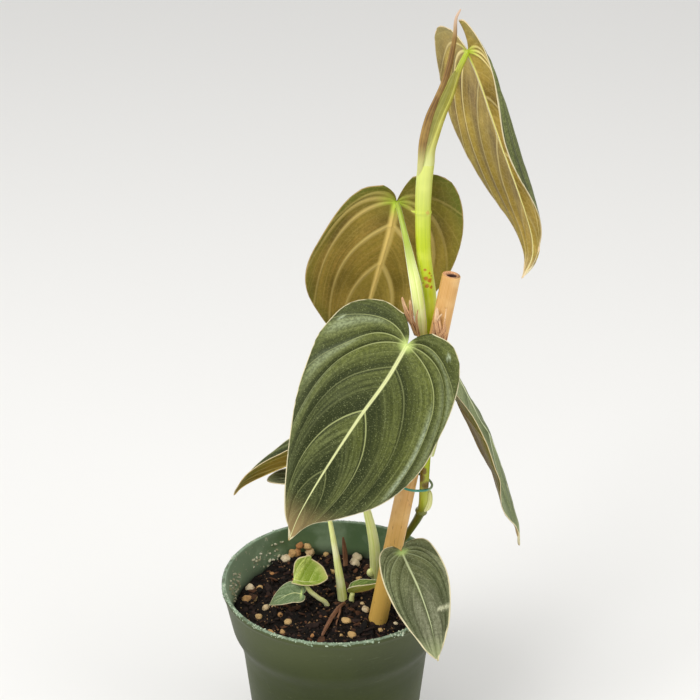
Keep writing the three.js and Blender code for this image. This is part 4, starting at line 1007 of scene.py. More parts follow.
def potProfile():
    # Radius and height along the pot's outline, from the foot up, over the lip and down the inside,
    # and the row where the inside starts
    form, wall = potForm, potForm["wall"]
    shoulderTop, collarFoot = form["height"] - form["shoulderDepth"], form["height"] - form["collarDepth"]
    rimTop = form["height"] - form["lipHeight"]
    flare = [form["shoulder"] + form["flareOut"], shoulderTop + form["flareUp"]]
    slope = (form["shoulder"] - form["base"]) / (shoulderTop - form["footRound"])
    holeEdge = form["base"] + slope * (form["holeTop"] - form["footRound"])
    outerFoot = [[0, 0], [form["footRing"], 0], [form["holeInner"], 0], [form["base"] - form["footRound"], 0],
                 [form["base"], form["footRound"]], [holeEdge, form["holeTop"]]]
    outerCorners = [outerFoot[-1], [form["shoulder"], shoulderTop], flare, [form["collarFoot"], collarFoot],
                    [form["rim"], rimTop - 1]]
    outerWall = evenChain(outerCorners, form["spacing"], form["cornerRound"])[1:]
    lip = [[form["lip"] - 0.25, rimTop - 0.3], [form["lip"], rimTop + 0.3],
           [form["lip"], form["height"] - 0.6], [form["lip"] - 0.2, form["height"] - 0.2],
           [form["lip"] - 0.6, form["height"]], [form["rim"] - wall + 0.4, form["height"]],
           [form["rim"] - wall + 0.1, form["height"] - 0.2], [form["rim"] - wall - 0.1, form["height"] - 0.7]]
    innerCorners = [[form["rim"] - wall - 0.3, rimTop - 1], [form["collarFoot"] - wall, collarFoot],
                    [flare[0] - wall, flare[1]], [form["shoulder"] - wall, shoulderTop],
                    [holeEdge - wall, form["holeTop"]]]
    innerWall = evenChain(innerCorners, form["spacing"], form["cornerRound"])
    innerFoot = [[form["base"] - wall, form["floor"]],
                 [form["base"] - form["footRound"] - wall, form["floor"]],
                 [form["holeInner"], form["floor"]], [form["footRing"], form["floor"]], [0, form["floor"]]]
    profile = np.vstack([outerFoot, outerWall, lip, innerWall, innerFoot])[1:-1]
    lipOutside = 4  # points of the lip that still face out
    return profile, len(outerFoot) + len(outerWall) + lipOutside


def buildPot(materials):
    form = potForm
    profile, innerFirst = potProfile()
    count, sides = len(profile), form["sides"]
    angle = np.linspace(0, 2 * np.pi, sides, endpoint=False)
    ring = np.stack([np.cos(angle), np.sin(angle)], axis=1)
    high = np.clip((profile[:, 1] - form["unevenFrom"]) / form["unevenOver"], 0, 1)
    soft = bumps(np.hstack([ring * 3, np.zeros((sides, 1))]), 1.0, 2.0)
    radius = profile[:, 0][:, None] + form["unevenness"] * high[:, None] * soft[None]
    grid = np.dstack([radius * ring[:, 0], radius * ring[:, 1],
                      np.broadcast_to(profile[:, 1:], (count, sides))])
    vertices = grid.reshape(-1, 3).tolist() + [[0, 0, 0], [0, 0, form["floor"]]]
    holeStart, holeEnd = 1, 4  # from the floor's hole edge to the top of the hole, on the outer chain
    innerEnd = count - 2
    innerStart = innerEnd - (holeEnd - holeStart)
    perHole = sides // form["holes"]
    halfHole = round(form["holeWidth"] / 2 / form["base"] / (2 * np.pi) * sides)
    faces, kinds = [], []

    def isHole(side):
        return abs((side % perHole) - perHole // 2 + 0.5) < halfHole

    for side in range(sides):
        after = (side + 1) % sides
        opening, openBefore = isHole(side), isHole((side - 1) % sides)
        for row in range(count - 1):
            if opening and (holeStart <= row < holeEnd or innerStart <= row < innerEnd):
                continue
            a, b = row * sides, (row + 1) * sides
            faces.append([a + side, a + after, b + after, b + side])
            kinds.append(int(row >= innerFirst))
        faces.append([after, side, count * sides])
        last = (count - 1) * sides
        faces.append([last + side, last + after, count * sides + 1])
        kinds += [0, 1]
        if opening:
            for outer, inner, turned in ((holeStart, innerEnd, False), (holeEnd, innerStart, True)):
                a, b = outer * sides, inner * sides
                face = [a + side, a + after, b + after, b + side]
                faces.append(face[::-1] if turned else face)
                kinds.append(0)
        if opening != openBefore:
            for step in range(holeEnd - holeStart):
                a, b = (holeStart + step) * sides + side, (holeStart + step + 1) * sides + side
                c, d = (innerEnd - step - 1) * sides + side, (innerEnd - step) * sides + side
                faces.append([a, b, c, d] if openBefore else [d, c, b, a])
                kinds.append(0)
    return meshObject("pot", vertices, faces, materials, kinds)


def stretched(tree, where, scale):
    return addNode(tree, "ShaderNodeMapping", {}, {"Vector": where, "Scale": scale}).outputs[0]


# The pale worn line on top of the lip, with a rough lower edge
def makeLipGroup():
    group, given, result = nodeGroup("lipWear", {"Line Foot": 0.0935}, ["Wear"])
    where = place(group)
    ragged = times(group, noiseAt(group, where, 330.0, 5.0, 0.75), 0.0014)
    above = minus(group, minus(group, heightOf(group), ragged), given.outputs["Line Foot"])
    patches = ramp(group, noiseAt(group, where, 210.0, 4.0, 0.7), 0.35, 0.6, 0.25, 0.9)
    setInputs(group, result, {"Wear": times(group, ramp(group, above, 0.0, 0.0006), patches)})
    return group


lipGroup = makeLipGroup()


def outerPlastic():
    material, tree, shader = surface("greenPotPlastic")
    where, height = place(tree), heightOf(tree)
    mottle = useGroup(tree, mottleGroup, {"Fine Scale": 600.0, "Broad Scale": 22.0})
    color = mixColors(tree, ramp(tree, mottle.outputs["Broad"], 0.3, 0.7), rgb(36, 45, 8), rgb(48, 57, 14))
    color = tint(tree, color, mottle.outputs["Fine"], 0.25, rgb(84, 90, 50))
    dust = times(tree, ramp(tree, noiseAt(tree, where, 240.0, 5.0, 0.7), 0.62, 0.76), 0.14)
    dust = plus(tree, dust, ramp(tree, height, 0.072, 0.092, 0.0, 0.1))
    color = mixColors(tree, dust, color, rgb(142, 148, 116))
    scuffs = ramp(tree, noiseAt(tree, stretched(tree, where, (1.0, 1.0, 9.0)), 60.0, 4.0, 0.7), 0.62, 0.7)
    color = tint(tree, color, scuffs, 0.12, rgb(130, 140, 104))
    wear = useGroup(tree, lipGroup, {"Line Foot": 0.0937}).outputs["Wear"]
    color = mixColors(tree, wear, color, rgb(146, 166, 142))
    roughness = plus(tree, 0.4, times(tree, mottle.outputs["Fine"], 0.14))
    setInputs(tree, shader, {"Base Color": color, "Roughness": roughness, "Specular IOR Level": 0.2})
    bump(tree, shader, mottle.outputs["Fine"], 0.0002, 0.3)
    return material


def innerPlastic():
    material, tree, shader = surface("innerPotPlastic")
    where = place(tree)
    split = addNode(tree, "ShaderNodeSeparateXYZ", {}, {0: where}).outputs
    mottle = useGroup(tree, mottleGroup, {"Fine Scale": 500.0, "Broad Scale": 34.0})
    color = mixColors(tree, ramp(tree, mottle.outputs["Broad"], 0.3, 0.7), rgb(80, 106, 70), rgb(98, 122, 84))
    # Painted light on the left of the inner wall, laid on as more of the pale scum
    left = ramp(tree, split[0], -0.048, -0.024, 0.55, 0.0)
    scumAndPaintedLight = times(tree, ramp(tree, noiseAt(tree, where, 70.0, 6.0, 0.62), 0.46, 0.66), 0.4)
    scumAndPaintedLight = plus(tree, scumAndPaintedLight, left)
    color = mixColors(tree, scumAndPaintedLight, color, rgb(158, 178, 150))
    grains = ramp(tree, noiseAt(tree, where, 520.0, 3.0, 0.6), 0.62, 0.68)
    grains = times(tree, grains, ramp(tree, noiseAt(tree, where, 50.0, 2.0, 0.5), 0.52, 0.62))
    color = tint(tree, color, grains, 0.6, rgb(196, 190, 164))
    ragged = minus(tree, split[2], times(tree, mottle.outputs["Broad"], 0.008))
    dirt = ramp(tree, ragged, 0.072, 0.079, 0.85, 0.0)
    color = mixColors(tree, dirt, color, rgb(34, 30, 20))
    wear = useGroup(tree, lipGroup, {"Line Foot": 0.0937}).outputs["Wear"]
    color = mixColors(tree, wear, color, rgb(146, 166, 142))
    setInputs(tree, shader, {"Base Color": color, "Roughness": plus(tree, 0.42, scumAndPaintedLight)})
    bump(tree, shader, plus(tree, mottle.outputs["Fine"], grains), 0.00025, 0.4)
    return material


outerSkin, innerSkin = outerPlastic(), innerPlastic()
finishPiece(buildPot([outerSkin, innerSkin]), "green_plastic", "pot")
print("pot made")


# Potting mix: a lumpy bed, with bark, crumbs and perlite strewn on it

soilForm = {
    "level": 77, "edge": 47.2, "foot": 1.9, "rings": 74, "segments": 220, "gap": 0.3,
    "fine": [[2.2, 0.45, 3.0], [5.5, 0.6, 8.0], [1.1, 0.2, 12.0]],
}


def soilHeight(x, y):
    slope = 0.025 * (y - x)
    mounds = 0.9 * np.sin(x / 9 + 1.2) * np.cos(y / 11 + 0.4)
    crumbs = 0.7 * np.sin(x / 2.9 + y / 4.1) * np.cos(y / 3.3 - x / 5.3)
    pile = 3 * np.exp(-((x + 21) ** 2 + (y - 43) ** 2) / 160)
    return soilForm["level"] + slope + mounds + crumbs + pile


def buildSoil(material):
    form, wall = soilForm, potForm["wall"] + soilForm["gap"]
    radii = form["edge"] * np.linspace(0, 1, form["rings"] + 1)[1:]
    angle = np.linspace(0, 2 * np.pi, form["segments"], endpoint=False)
    x, y = radii[:, None] * np.cos(angle), radii[:, None] * np.sin(angle)
    z = soilHeight(x, y)
    spots = np.dstack([x, y, np.zeros_like(x)]).reshape(-1, 3)
    for size, depth, seed in form["fine"]:
        z = z + depth * bumps(spots, size, seed).reshape(z.shape)
    shoulderTop = potForm["height"] - potForm["shoulderDepth"]
    sides = [[potForm["collarFoot"] - wall, potForm["height"] - potForm["collarDepth"]],
             [potForm["shoulder"] + potForm["flareOut"] - wall, shoulderTop + potForm["flareUp"]],
             [potForm["shoulder"] - wall, shoulderTop], [potForm["base"] - wall, form["foot"]]]
    for radius, height in sides:
        x = np.vstack([x, radius * np.cos(angle)])
        y = np.vstack([y, radius * np.sin(angle)])
        z = np.vstack([z, np.full_like(angle, height)])
    rows, segments = x.shape
    vertices = np.dstack([x, y, z]).reshape(-1, 3).tolist()
    vertices += [[0, 0, float(soilHeight(0.0, 0.0))], [0, 0, form["foot"]]]
    faces = turnedOver(tubeFaces(0, rows, segments))
    last = (rows - 1) * segments
    for side in range(segments):
        after = (side + 1) % segments
        faces.append([side, after, rows * segments])
        faces.append([last + after, last + side, rows * segments + 1])
    return meshObject("pottingSoil", vertices, faces, [material])


def mixMaterial(name, colors, roughness=0.95, height=0.0006):
    # Colours from dark to light, picked by each lump's own tone; a surface without tones takes the first
    material, tree, shader = surface(name)
    where = place(tree)
    mottle = useGroup(tree, mottleGroup, {"Fine Scale": 1100.0, "Broad Scale": 190.0})
    tone = attribute(tree, "tone")
    color = mixColors(tree, ramp(tree, tone, 0.1, 0.4), colors[0], colors[1])
    color = mixColors(tree, ramp(tree, tone, 0.5, 0.62), color, colors[2])
    color = mixColors(tree, ramp(tree, tone, 0.8, 0.9), color, colors[3])
    color = tint(tree, color, ramp(tree, mottle.outputs["Broad"], 0.4, 0.7), 0.5, colors[0])
    color = tint(tree, color, mottle.outputs["Specks"], 0.35, colors[2])
    setInputs(tree, shader, {"Base Color": color, "Roughness": roughness, "Specular IOR Level": 0.25})
    bump(tree, shader, noiseAt(tree, where, 1400.0, 5.0, 0.7), height, 0.8)
    return material


def makeScatterTree():
    tree = bpy.data.node_groups.new("strewnLumps", "GeometryNodeTree")
    tree.interface.new_socket(name="Geometry", in_out="INPUT", socket_type="NodeSocketGeometry")
    for label, kind in (("Per Square Metre", "Float"), ("Smallest", "Vector"), ("Largest", "Vector"),
                        ("Roughness", "Float"), ("Rough Scale", "Float"), ("Lift", "Float"),
                        ("Patch Scale", "Float"), ("Patch Start", "Float"), ("Detail", "Int"),
                        ("Seed", "Int"), ("Finish", "Material")):
        tree.interface.new_socket(name=label, in_out="INPUT", socket_type="NodeSocket" + kind)
    tree.interface.new_socket(name="Geometry", in_out="OUTPUT", socket_type="NodeSocketGeometry")
    given, result = tree.nodes.new("NodeGroupInput").outputs, tree.nodes.new("NodeGroupOutput")
    patch = addNode(tree, "ShaderNodeTexNoise", {}, {"Scale": given["Patch Scale"], "Detail": 2.0})
    patches = addNode(tree, "ShaderNodeMapRange", {}, {
        "Value": patch.outputs["Fac"], "From Min": given["Patch Start"],
        "From Max": plus(tree, given["Patch Start"], 0.12)})
    density = times(tree, given["Per Square Metre"], patches.outputs[0])
    points = addNode(tree, "GeometryNodeDistributePointsOnFaces", {}, {
        "Mesh": given["Geometry"], "Density": density, "Seed": given["Seed"]})
    lifted = addNode(tree, "ShaderNodeVectorMath", {"operation": "SCALE"}, {
        0: points.outputs["Normal"], "Scale": given["Lift"]})
    raised = addNode(tree, "GeometryNodeSetPosition", {}, {
        "Geometry": points.outputs["Points"], "Offset": lifted.outputs[0]})
    lump = addNode(tree, "GeometryNodeMeshIcoSphere", {}, {"Radius": 1.0, "Subdivisions": given["Detail"]})
    size = addNode(tree, "FunctionNodeRandomValue", {"data_type": "FLOAT_VECTOR"}, {
        0: given["Smallest"], 1: given["Largest"], "Seed": given["Seed"]})
    turn = addNode(tree, "FunctionNodeRandomValue", {"data_type": "FLOAT_VECTOR"}, {
        0: (-0.6, -0.6, 0.0), 1: (0.6, 0.6, 2 * math.pi), "Seed": given["Seed"]})
    strewn = addNode(tree, "GeometryNodeInstanceOnPoints", {}, {
        "Points": raised.outputs[0], "Instance": lump.outputs[0], "Rotation": turn.outputs[0],
        "Scale": size.outputs[0]})
    toneSeed = plus(tree, given["Seed"], 5.0)
    tone = addNode(tree, "FunctionNodeRandomValue", {"data_type": "FLOAT"}, {"Seed": toneSeed})
    toned = addNode(tree, "GeometryNodeStoreNamedAttribute", {"data_type": "FLOAT", "domain": "INSTANCE"}, {
        "Geometry": strewn.outputs[0], "Name": "tone", "Value": tone.outputs[1]})
    real = addNode(tree, "GeometryNodeRealizeInstances", {}, {0: toned.outputs[0]})
    rough = addNode(tree, "ShaderNodeTexNoise", {}, {"Scale": given["Rough Scale"], "Detail": 2.0})
    middle = addNode(tree, "ShaderNodeVectorMath", {"operation": "SUBTRACT"}, {
        0: rough.outputs["Color"], 1: (0.5, 0.5, 0.5)})
    push = addNode(tree, "ShaderNodeVectorMath", {"operation": "SCALE"}, {
        0: middle.outputs[0], "Scale": given["Roughness"]})
    uneven = addNode(tree, "GeometryNodeSetPosition", {}, {
        "Geometry": real.outputs[0], "Offset": push.outputs[0]})
    finished = addNode(tree, "GeometryNodeSetMaterial", {}, {
        "Geometry": uneven.outputs[0], "Material": given["Finish"]})
    tree.links.new(finished.outputs[0], result.inputs[0])
    return tree


def strew(name, bed, tree, settings):
    # Lumps strewn over a copy of the bed, as a plain mesh
    made = bpy.data.objects.new(name, bed.data)
    bpy.context.scene.collection.objects.link(made)
    modifier = made.modifiers.new("strewn", "NODES")
    modifier.node_group = tree
    for item in tree.interface.items_tree:
        if item.in_out == "INPUT" and item.name in settings:
            modifier[item.identifier] = settings[item.name]
    mesh = bpy.data.meshes.new_from_object(made.evaluated_get(bpy.context.evaluated_depsgraph_get()))
    made.modifiers.remove(modifier)
    made.data = mesh
    mesh.name = name
    mesh.polygons.foreach_set("use_smooth", [False] * len(mesh.polygons))
    print(name, len(mesh.polygons), "faces")
    return made


def discBed(radius, rings=40, segments=150):
    # The top of the mix alone, to strew on
    radii = radius * np.linspace(0, 1, rings + 1)[1:]
    angle = np.linspace(0, 2 * np.pi, segments, endpoint=False)
    x, y = radii[:, None] * np.cos(angle), radii[:, None] * np.sin(angle)
    vertices = np.dstack([x, y, soilHeight(x, y)]).reshape(-1, 3)
    return meshObject("bed", vertices, turnedOver(tubeFaces(0, rings, segments)), [])


scatterTree = makeScatterTree()
soilMaterial = mixMaterial(
    "darkMix", [rgb(20, 14, 10), rgb(30, 21, 15), rgb(44, 31, 23), rgb(52, 40, 32)])
barkMaterial = mixMaterial(
    "barkChips", [rgb(15, 11, 8), rgb(28, 19, 14), rgb(50, 35, 30), rgb(94, 62, 42)], 0.85)
crumbMaterial = mixMaterial(
    "mixCrumbs", [rgb(16, 12, 9), rgb(34, 24, 18), rgb(78, 56, 40), rgb(176, 138, 96)], 0.9)
finishPiece(buildSoil(soilMaterial), "soil_mix", "potting_soil")
bed = discBed(45.5)
strewnMix = {
    "barkChips": {"Per Square Metre": 150000.0, "Smallest": (0.0007, 0.0004, 0.0003),
                  "Largest": (0.0024, 0.0013, 0.0007), "Roughness": 0.0011, "Rough Scale": 700.0,
                  "Lift": 0.0002, "Patch Scale": 1.0, "Patch Start": 0.0, "Detail": 2, "Seed": 7,
                  "Finish": barkMaterial},
    "bigBark": {"Per Square Metre": 15000.0, "Smallest": (0.0018, 0.0008, 0.0004),
                "Largest": (0.0044, 0.0022, 0.0009), "Roughness": 0.0018, "Rough Scale": 420.0,
                "Lift": 0.0006, "Patch Scale": 1.0, "Patch Start": 0.0, "Detail": 3, "Seed": 31,
                "Finish": barkMaterial},
    "mixCrumbs": {"Per Square Metre": 420000.0, "Smallest": (0.0002, 0.0002, 0.00015),
                  "Largest": (0.0007, 0.0006, 0.0005), "Roughness": 0.0005, "Rough Scale": 1500.0,
                  "Lift": 0.0002, "Patch Scale": 1.0, "Patch Start": 0.0, "Detail": 1, "Seed": 23,
                  "Finish": crumbMaterial},
}
for name, settings in strewnMix.items():
    finishPiece(strew(name, bed, scatterTree, settings), "soil_mix")
bpy.data.objects.remove(bed)
print("potting mix made")


# Crust on the rim and grains of salt on the inner wall

def ringBed(rings, startTurn, endTurn, segments):
    # A band round the pot's axis through rings of radius and height, facing left of the way it climbs
    angle = np.radians(np.linspace(startTurn, endTurn, segments))
    vertices = [[radius * math.cos(turn), radius * math.sin(turn), height]
                for radius, height in rings for turn in angle]
    faces = [[row * segments + side, row * segments + side + 1, (row + 1) * segments + side + 1,
              (row + 1) * segments + side] for row in range(len(rings) - 1) for side in range(segments - 1)]
    return meshObject("ringBed", vertices, faces, [])


crustMaterial = mixMaterial("rimCrust", [rgb(128, 150, 124), rgb(150, 170, 144), rgb(174, 190, 164),
                                         rgb(196, 204, 178)], 0.8, 0.0002)
grainMaterial = mixMaterial("saltGrains", [rgb(150, 150, 118), rgb(178, 174, 144), rgb(204, 198, 170),
                                           rgb(226, 220, 196)], 0.8, 0.0002)
crusts = {
    "rimCrust": ([[52.9, 94.1], [52.5, 94.9], [51.4, 94.9]], 0, 360, 240, {
        "Per Square Metre": 2600000.0, "Smallest": (0.0002, 0.0002, 0.0001),
        "Largest": (0.0008, 0.0006, 0.0004), "Roughness": 0.0005, "Rough Scale": 1400.0, "Lift": 0.0,
        "Patch Scale": 130.0, "Patch Start": 0.46, "Detail": 1, "Seed": 3, "Finish": crustMaterial}),
    "rimFlakes": ([[53.05, 93.6], [52.95, 94.4]], 235, 305, 80, {
        "Per Square Metre": 800000.0, "Smallest": (0.0004, 0.0003, 0.0003),
        "Largest": (0.0013, 0.0008, 0.0006), "Roughness": 0.0008, "Rough Scale": 900.0, "Lift": 0.0,
        "Patch Scale": 90.0, "Patch Start": 0.54, "Detail": 2, "Seed": 11, "Finish": crustMaterial}),
    "wallGrains": ([[48.3, 78.5], [50.2, 89.5]], 200, 118, 90, {
        "Per Square Metre": 420000.0, "Smallest": (0.0003, 0.0003, 0.0002),
        "Largest": (0.0013, 0.0011, 0.0007), "Roughness": 0.0007, "Rough Scale": 900.0, "Lift": 0.0,
        "Patch Scale": 60.0, "Patch Start": 0.5, "Detail": 2, "Seed": 5, "Finish": grainMaterial}),
}
for name, (rings, startTurn, endTurn, segments, settings) in crusts.items():
    bed = ringBed(rings, startTurn, endTurn, segments)
    finishPiece(strew(name, bed, scatterTree, settings), "green_plastic")
    bpy.data.objects.remove(bed)
print("crusts made")

# Perlite: x, y, half size, how far it is stretched, how it lies over the mix, and its tone from tan to white
perliteLumps = [
    [10.6, 44.0, 2.5, 1.0, 1.2, 0.95], [9.2, 40.4, 2.7, 1.1, 0.4, 1.0], [-25.2, 38.6, 2.5, 1.0, 0.5, 1.0],
    [-23.5, 43.2, 2.3, 1.0, 2.2, 0.45], [-18.6, 44.0, 1.9, 1.0, 4.6, 0.25], [-14.9, 45.2, 1.9, 1.2, 4.4, 0.6],
    [-13.2, 44.4, 2.6, 1.0, 1.4, 0.75], [-20.4, 43.4, 2.0, 1.2, 1.4, 0.35],
    [-41.2, 15.2, 2.1, 1.0, 0.6, 0.95], [-36.6, 17.2, 1.5, 1.1, 0.3, 0.5], [-39.2, 8.6, 2.0, 1.1, 0.3, 0.7],
    [-42.2, 6.4, 2.1, 1.2, 0.5, 0.4], [-32.8, 0.2, 1.8, 1.1, 0.4, 0.8], [-29.4, 1.8, 1.2, 1.0, 0.3, 0.7],
    [-36.0, -7.2, 1.9, 1.1, 0.4, 0.65], [-21.8, -9.7, 1.8, 1.3, 0.4, 0.65],
    [-4.4, -7.2, 1.1, 1.1, 0.3, 0.3], [5.2, -10.2, 1.8, 1.4, 0.3, 0.6], [7.9, -19.7, 1.9, 1.2, 0.4, 0.5],
    [14.4, -0.6, 1.9, 1.2, 0.4, 0.9], [13.0, 5.3, 1.2, 1.0, 0.3, 0.75], [21.2, -15.3, 1.2, 1.0, 0.3, 0.6],
    [28.3, -8.8, 1.2, 1.0, 0.3, 1.0], [-5.0, 44.8, 1.5, 1.0, 1.2, 0.55], [11.4, 27.8, 1.5, 1.0, 0.3, 0.5],
    [-25.8, -3.5, 1.4, 1.0, 0.3, 0.35], [-29.8, -17.7, 1.5, 1.3, 0.3, 0.45],
    [-24.1, -18.1, 1.4, 1.3, 0.3, 0.45], [-10.1, -20.8, 1.1, 1.2, 0.3, 0.3],
    [2.9, -20.7, 0.9, 1.2, 0.3, 0.5], [-34.4, -20.4, 1.1, 1.0, 0.3, 0.6],
    [-40.6, -10.6, 1.0, 1.1, 0.3, 0.7], [34.0, 6.0, 1.6, 1.1, 0.3, 0.9], [27.0, 22.0, 1.8, 1.1, 0.3, 0.8],
    [20.0, 38.0, 1.7, 1.1, 0.3, 0.85], [-2.0, 33.0, 1.4, 1.1, 0.3, 0.6], [38.0, -14.0, 1.5, 1.1, 0.3, 0.9],
    [30.0, -28.0, 1.6, 1.1, 0.3, 0.7], [16.0, -36.0, 1.5, 1.1, 0.3, 0.8], [-8.0, -36.0, 1.6, 1.1, 0.3, 0.9],
    [-20.0, -32.0, 1.3, 1.1, 0.3, 0.6], [0.5, 20.0, 1.2, 1.1, 0.3, 0.4], [-20.0, 22.0, 1.1, 1.0, 0.3, 0.35],
    [-31.0, 27.0, 1.2, 1.2, 0.3, 0.3],
]


lumpForm = {"rows": 9, "sides": 14, "dent": 0.34, "dentSize": 0.95, "flatness": 0.85, "farthest": 47.9}


def buildLumps(name, lumps, material):
    # Round worn grains, each an even ball pushed in and out
    vertices, faces, tones = [], [], []
    form, rows, sides = lumpForm, lumpForm["rows"], lumpForm["sides"]
    turn = np.linspace(0, 2 * np.pi, sides, endpoint=False)
    rise = np.linspace(-np.pi / 2, np.pi / 2, rows + 2)[1:-1]
    ball = np.dstack([np.cos(rise)[:, None] * np.cos(turn), np.cos(rise)[:, None] * np.sin(turn),
                      np.broadcast_to(np.sin(rise)[:, None], (rows, sides))]).reshape(-1, 3)
    ball = np.vstack([ball, [[0, 0, -1], [0, 0, 1]]])
    for number, (x, y, size, stretch, lift, tone) in enumerate(lumps):
        angle = 2.4 * number
        inward = min(1, (form["farthest"] - 1.1 * size * stretch) / math.hypot(x, y))
        x, y = x * inward, y * inward
        dents = 1 + form["dent"] * bumps(ball, form["dentSize"], 5.0 + number)
        shape = ball * dents[:, None] * [stretch, 1, form["flatness"]]
        cosine, sine = math.cos(angle), math.sin(angle)
        spin = np.array([[cosine, -sine, 0], [sine, cosine, 0], [0, 0, 1]])
        shape = size * shape @ spin.T + [x, y, soilHeight(x, y) + lift]
        base = len(vertices)
        vertices.extend(shape)
        tones += [tone] * len(shape)
        faces += tubeFaces(base, rows, sides)
        last = base + (rows - 1) * sides
        for side in range(sides):
            after = (side + 1) % sides
            faces.append([base + after, base + side, base + rows * sides])
            faces.append([last + side, last + after, base + rows * sides + 1])
    return meshObject(name, vertices, faces, [material], values={"tone": tones})


def perliteMaterial():
    material, tree, shader = surface("perlite")
    where = place(tree)
    tone = attribute(tree, "tone")
    color = mixColors(tree, ramp(tree, tone, 0.2, 0.6), rgb(176, 118, 66), rgb(206, 170, 112))
    color = mixColors(tree, ramp(tree, tone, 0.6, 1.0), color, rgb(226, 208, 172))
    stain = ramp(tree, noiseAt(tree, where, 420.0, 4.0, 0.6), 0.5, 0.68)
    color = tint(tree, color, stain, 0.55, rgb(140, 104, 66))
    pits = ramp(tree, noiseAt(tree, where, 1700.0, 3.0, 0.6), 0.6, 0.68)
    color = tint(tree, color, pits, 0.5, rgb(96, 70, 46))
    setInputs(tree, shader, {"Base Color": color, "Roughness": 0.85})
    bump(tree, shader, noiseAt(tree, where, 1500.0, 5.0, 0.7), 0.0004, 0.8)
    return material


perlite = perliteMaterial()
finishPiece(buildLumps("perlite", perliteLumps, perlite), "soil_mix")
print("perlite made")


# Bamboo stake

stakeForm = {
    "foot": [9.8, -1.6, 12], "top": [48.9, -17.4, 253.5], "radii": [4.7, 3.9], "bore": 2.2, "boreDepth": 34,
    "sides": 48, "step": 1.6, "edgeRound": 0.3,
}


def buildStake(materials):
    form = stakeForm
    foot, top = np.array(form["foot"], float), np.array(form["top"], float)
    length = np.linalg.norm(top - foot)
    axis = unit(top - foot)
    across = unit(np.cross([0, -1, 0], axis))
    outward = np.cross(axis, across)
    run = np.linspace(0, length, round(length / form["step"]) + 1)
    radius = form["radii"][0] + (form["radii"][1] - form["radii"][0]) * run / length
    # Height and radius of each ring, up the outside and down the bore
    rings = [[0, 1e-3], [0, radius[0] * 0.5], [0, radius[0] - form["edgeRound"]]]
    rings += [list(pair) for pair in zip(run[1:-1], radius[1:-1])]
    rings += [[length - form["edgeRound"], radius[-1]], [length - 0.08, radius[-1] - 0.1],
              [length, radius[-1] - form["edgeRound"]]]
    outerRows = len(rings) - 1
    rings += [[length, form["bore"] + 0.25], [length - 0.2, form["bore"]],
              [length - form["boreDepth"], form["bore"]], [length - form["boreDepth"], 1e-3]]
    sides = form["sides"]
    angle = np.linspace(0, 2 * np.pi, sides, endpoint=False)
    vertices = []
    for height, size in rings:
        ring = size * (1 + 0.006 * np.sin(3 * angle + height / 40) + 0.004 * np.sin(7 * angle + 1.3))
        sideways, forward = np.outer(ring * np.cos(angle), across), np.outer(ring * np.sin(angle), outward)
        vertices.extend(foot + axis * height + sideways + forward)
    last = (len(rings) - 1) * sides
    faces = tubeFaces(0, len(rings), sides)
    faces.append([side for side in reversed(range(sides))])
    faces.append([last + side for side in range(sides)])
    uvs = tubeUvs([height for height, _ in rings], sides) + [[0.5, 0]] * (2 * sides)
    kinds = [int(row >= outerRows) for row in range(len(rings) - 1) for _ in range(sides)] + [0, 1]
    return meshObject("bambooStake", vertices, faces, materials, kinds, uv=uvs)


def bambooMaterial():
    material, tree, shader, color = stalkMaterial(
        "bambooSkin", [rgb(216, 168, 102), rgb(200, 150, 80), rgb(230, 192, 130)], 0.44, 44.0, 0.6, 0.00005,
        zones=[[0.16, 0.085, 0.75, rgb(236, 192, 92)]])
    fibres = useGroup(tree, fibreGroup, {"Across": 120.0, "Along": 1.0})
    fine = times(tree, ramp(tree, fibres.outputs["Fibres"], 0.54, 0.7), 0.4)
    color = mixColors(tree, fine, color, rgb(170, 116, 58))
    where = stretched(tree, place(tree), (1.0, 1.0, 0.2))
    specks = ramp(tree, noiseAt(tree, where, 900.0, 2.0, 0.5), 0.66, 0.72)
    color = tint(tree, color, specks, 0.5, rgb(130, 78, 40))
    tree.links.new(color, shader.inputs["Base Color"])
    return material


# The cut end: a reddish ring of wood round the hollow, whose walls are painted dark as shade
def caneEndMaterial():
    material, tree, shader = surface("caneEnd")
    where = place(tree)
    fine = noiseAt(tree, where, 1800.0, 4.0, 0.7)
    color = mixColors(tree, ramp(tree, fine, 0.4, 0.6), rgb(196, 136, 94), rgb(224, 176, 132))
    # Painted shade down the walls of the hollow
    color = mixColors(tree, ramp(tree, heightOf(tree), 0.2526, 0.2534, 1.0, 0.0), color, rgb(54, 26, 16))
    setInputs(tree, shader, {"Base Color": color, "Roughness": 0.8})
    bump(tree, shader, fine, 0.0002, 0.6)
    return material


finishPiece(buildStake([bambooMaterial(), caneEndMaterial()]), "bamboo", "bamboo_stake")


# Plant tie: a loop of coated wire round the stake and the stem

tieForm = {
    "loop": [[27.2, -13.4, 155.4], [28.8, -17.2, 154], [33.2, -18.6, 152.6], [38.4, -16.8, 151.2],
             [42.4, -14.4, 150.8], [43.4, -11.2, 151.6], [40.6, -8, 153.2], [34, -5.8, 155.2],
             [28.6, -7.4, 156.4]],
    "radius": 0.55, "sides": 14, "stations": 180,
}


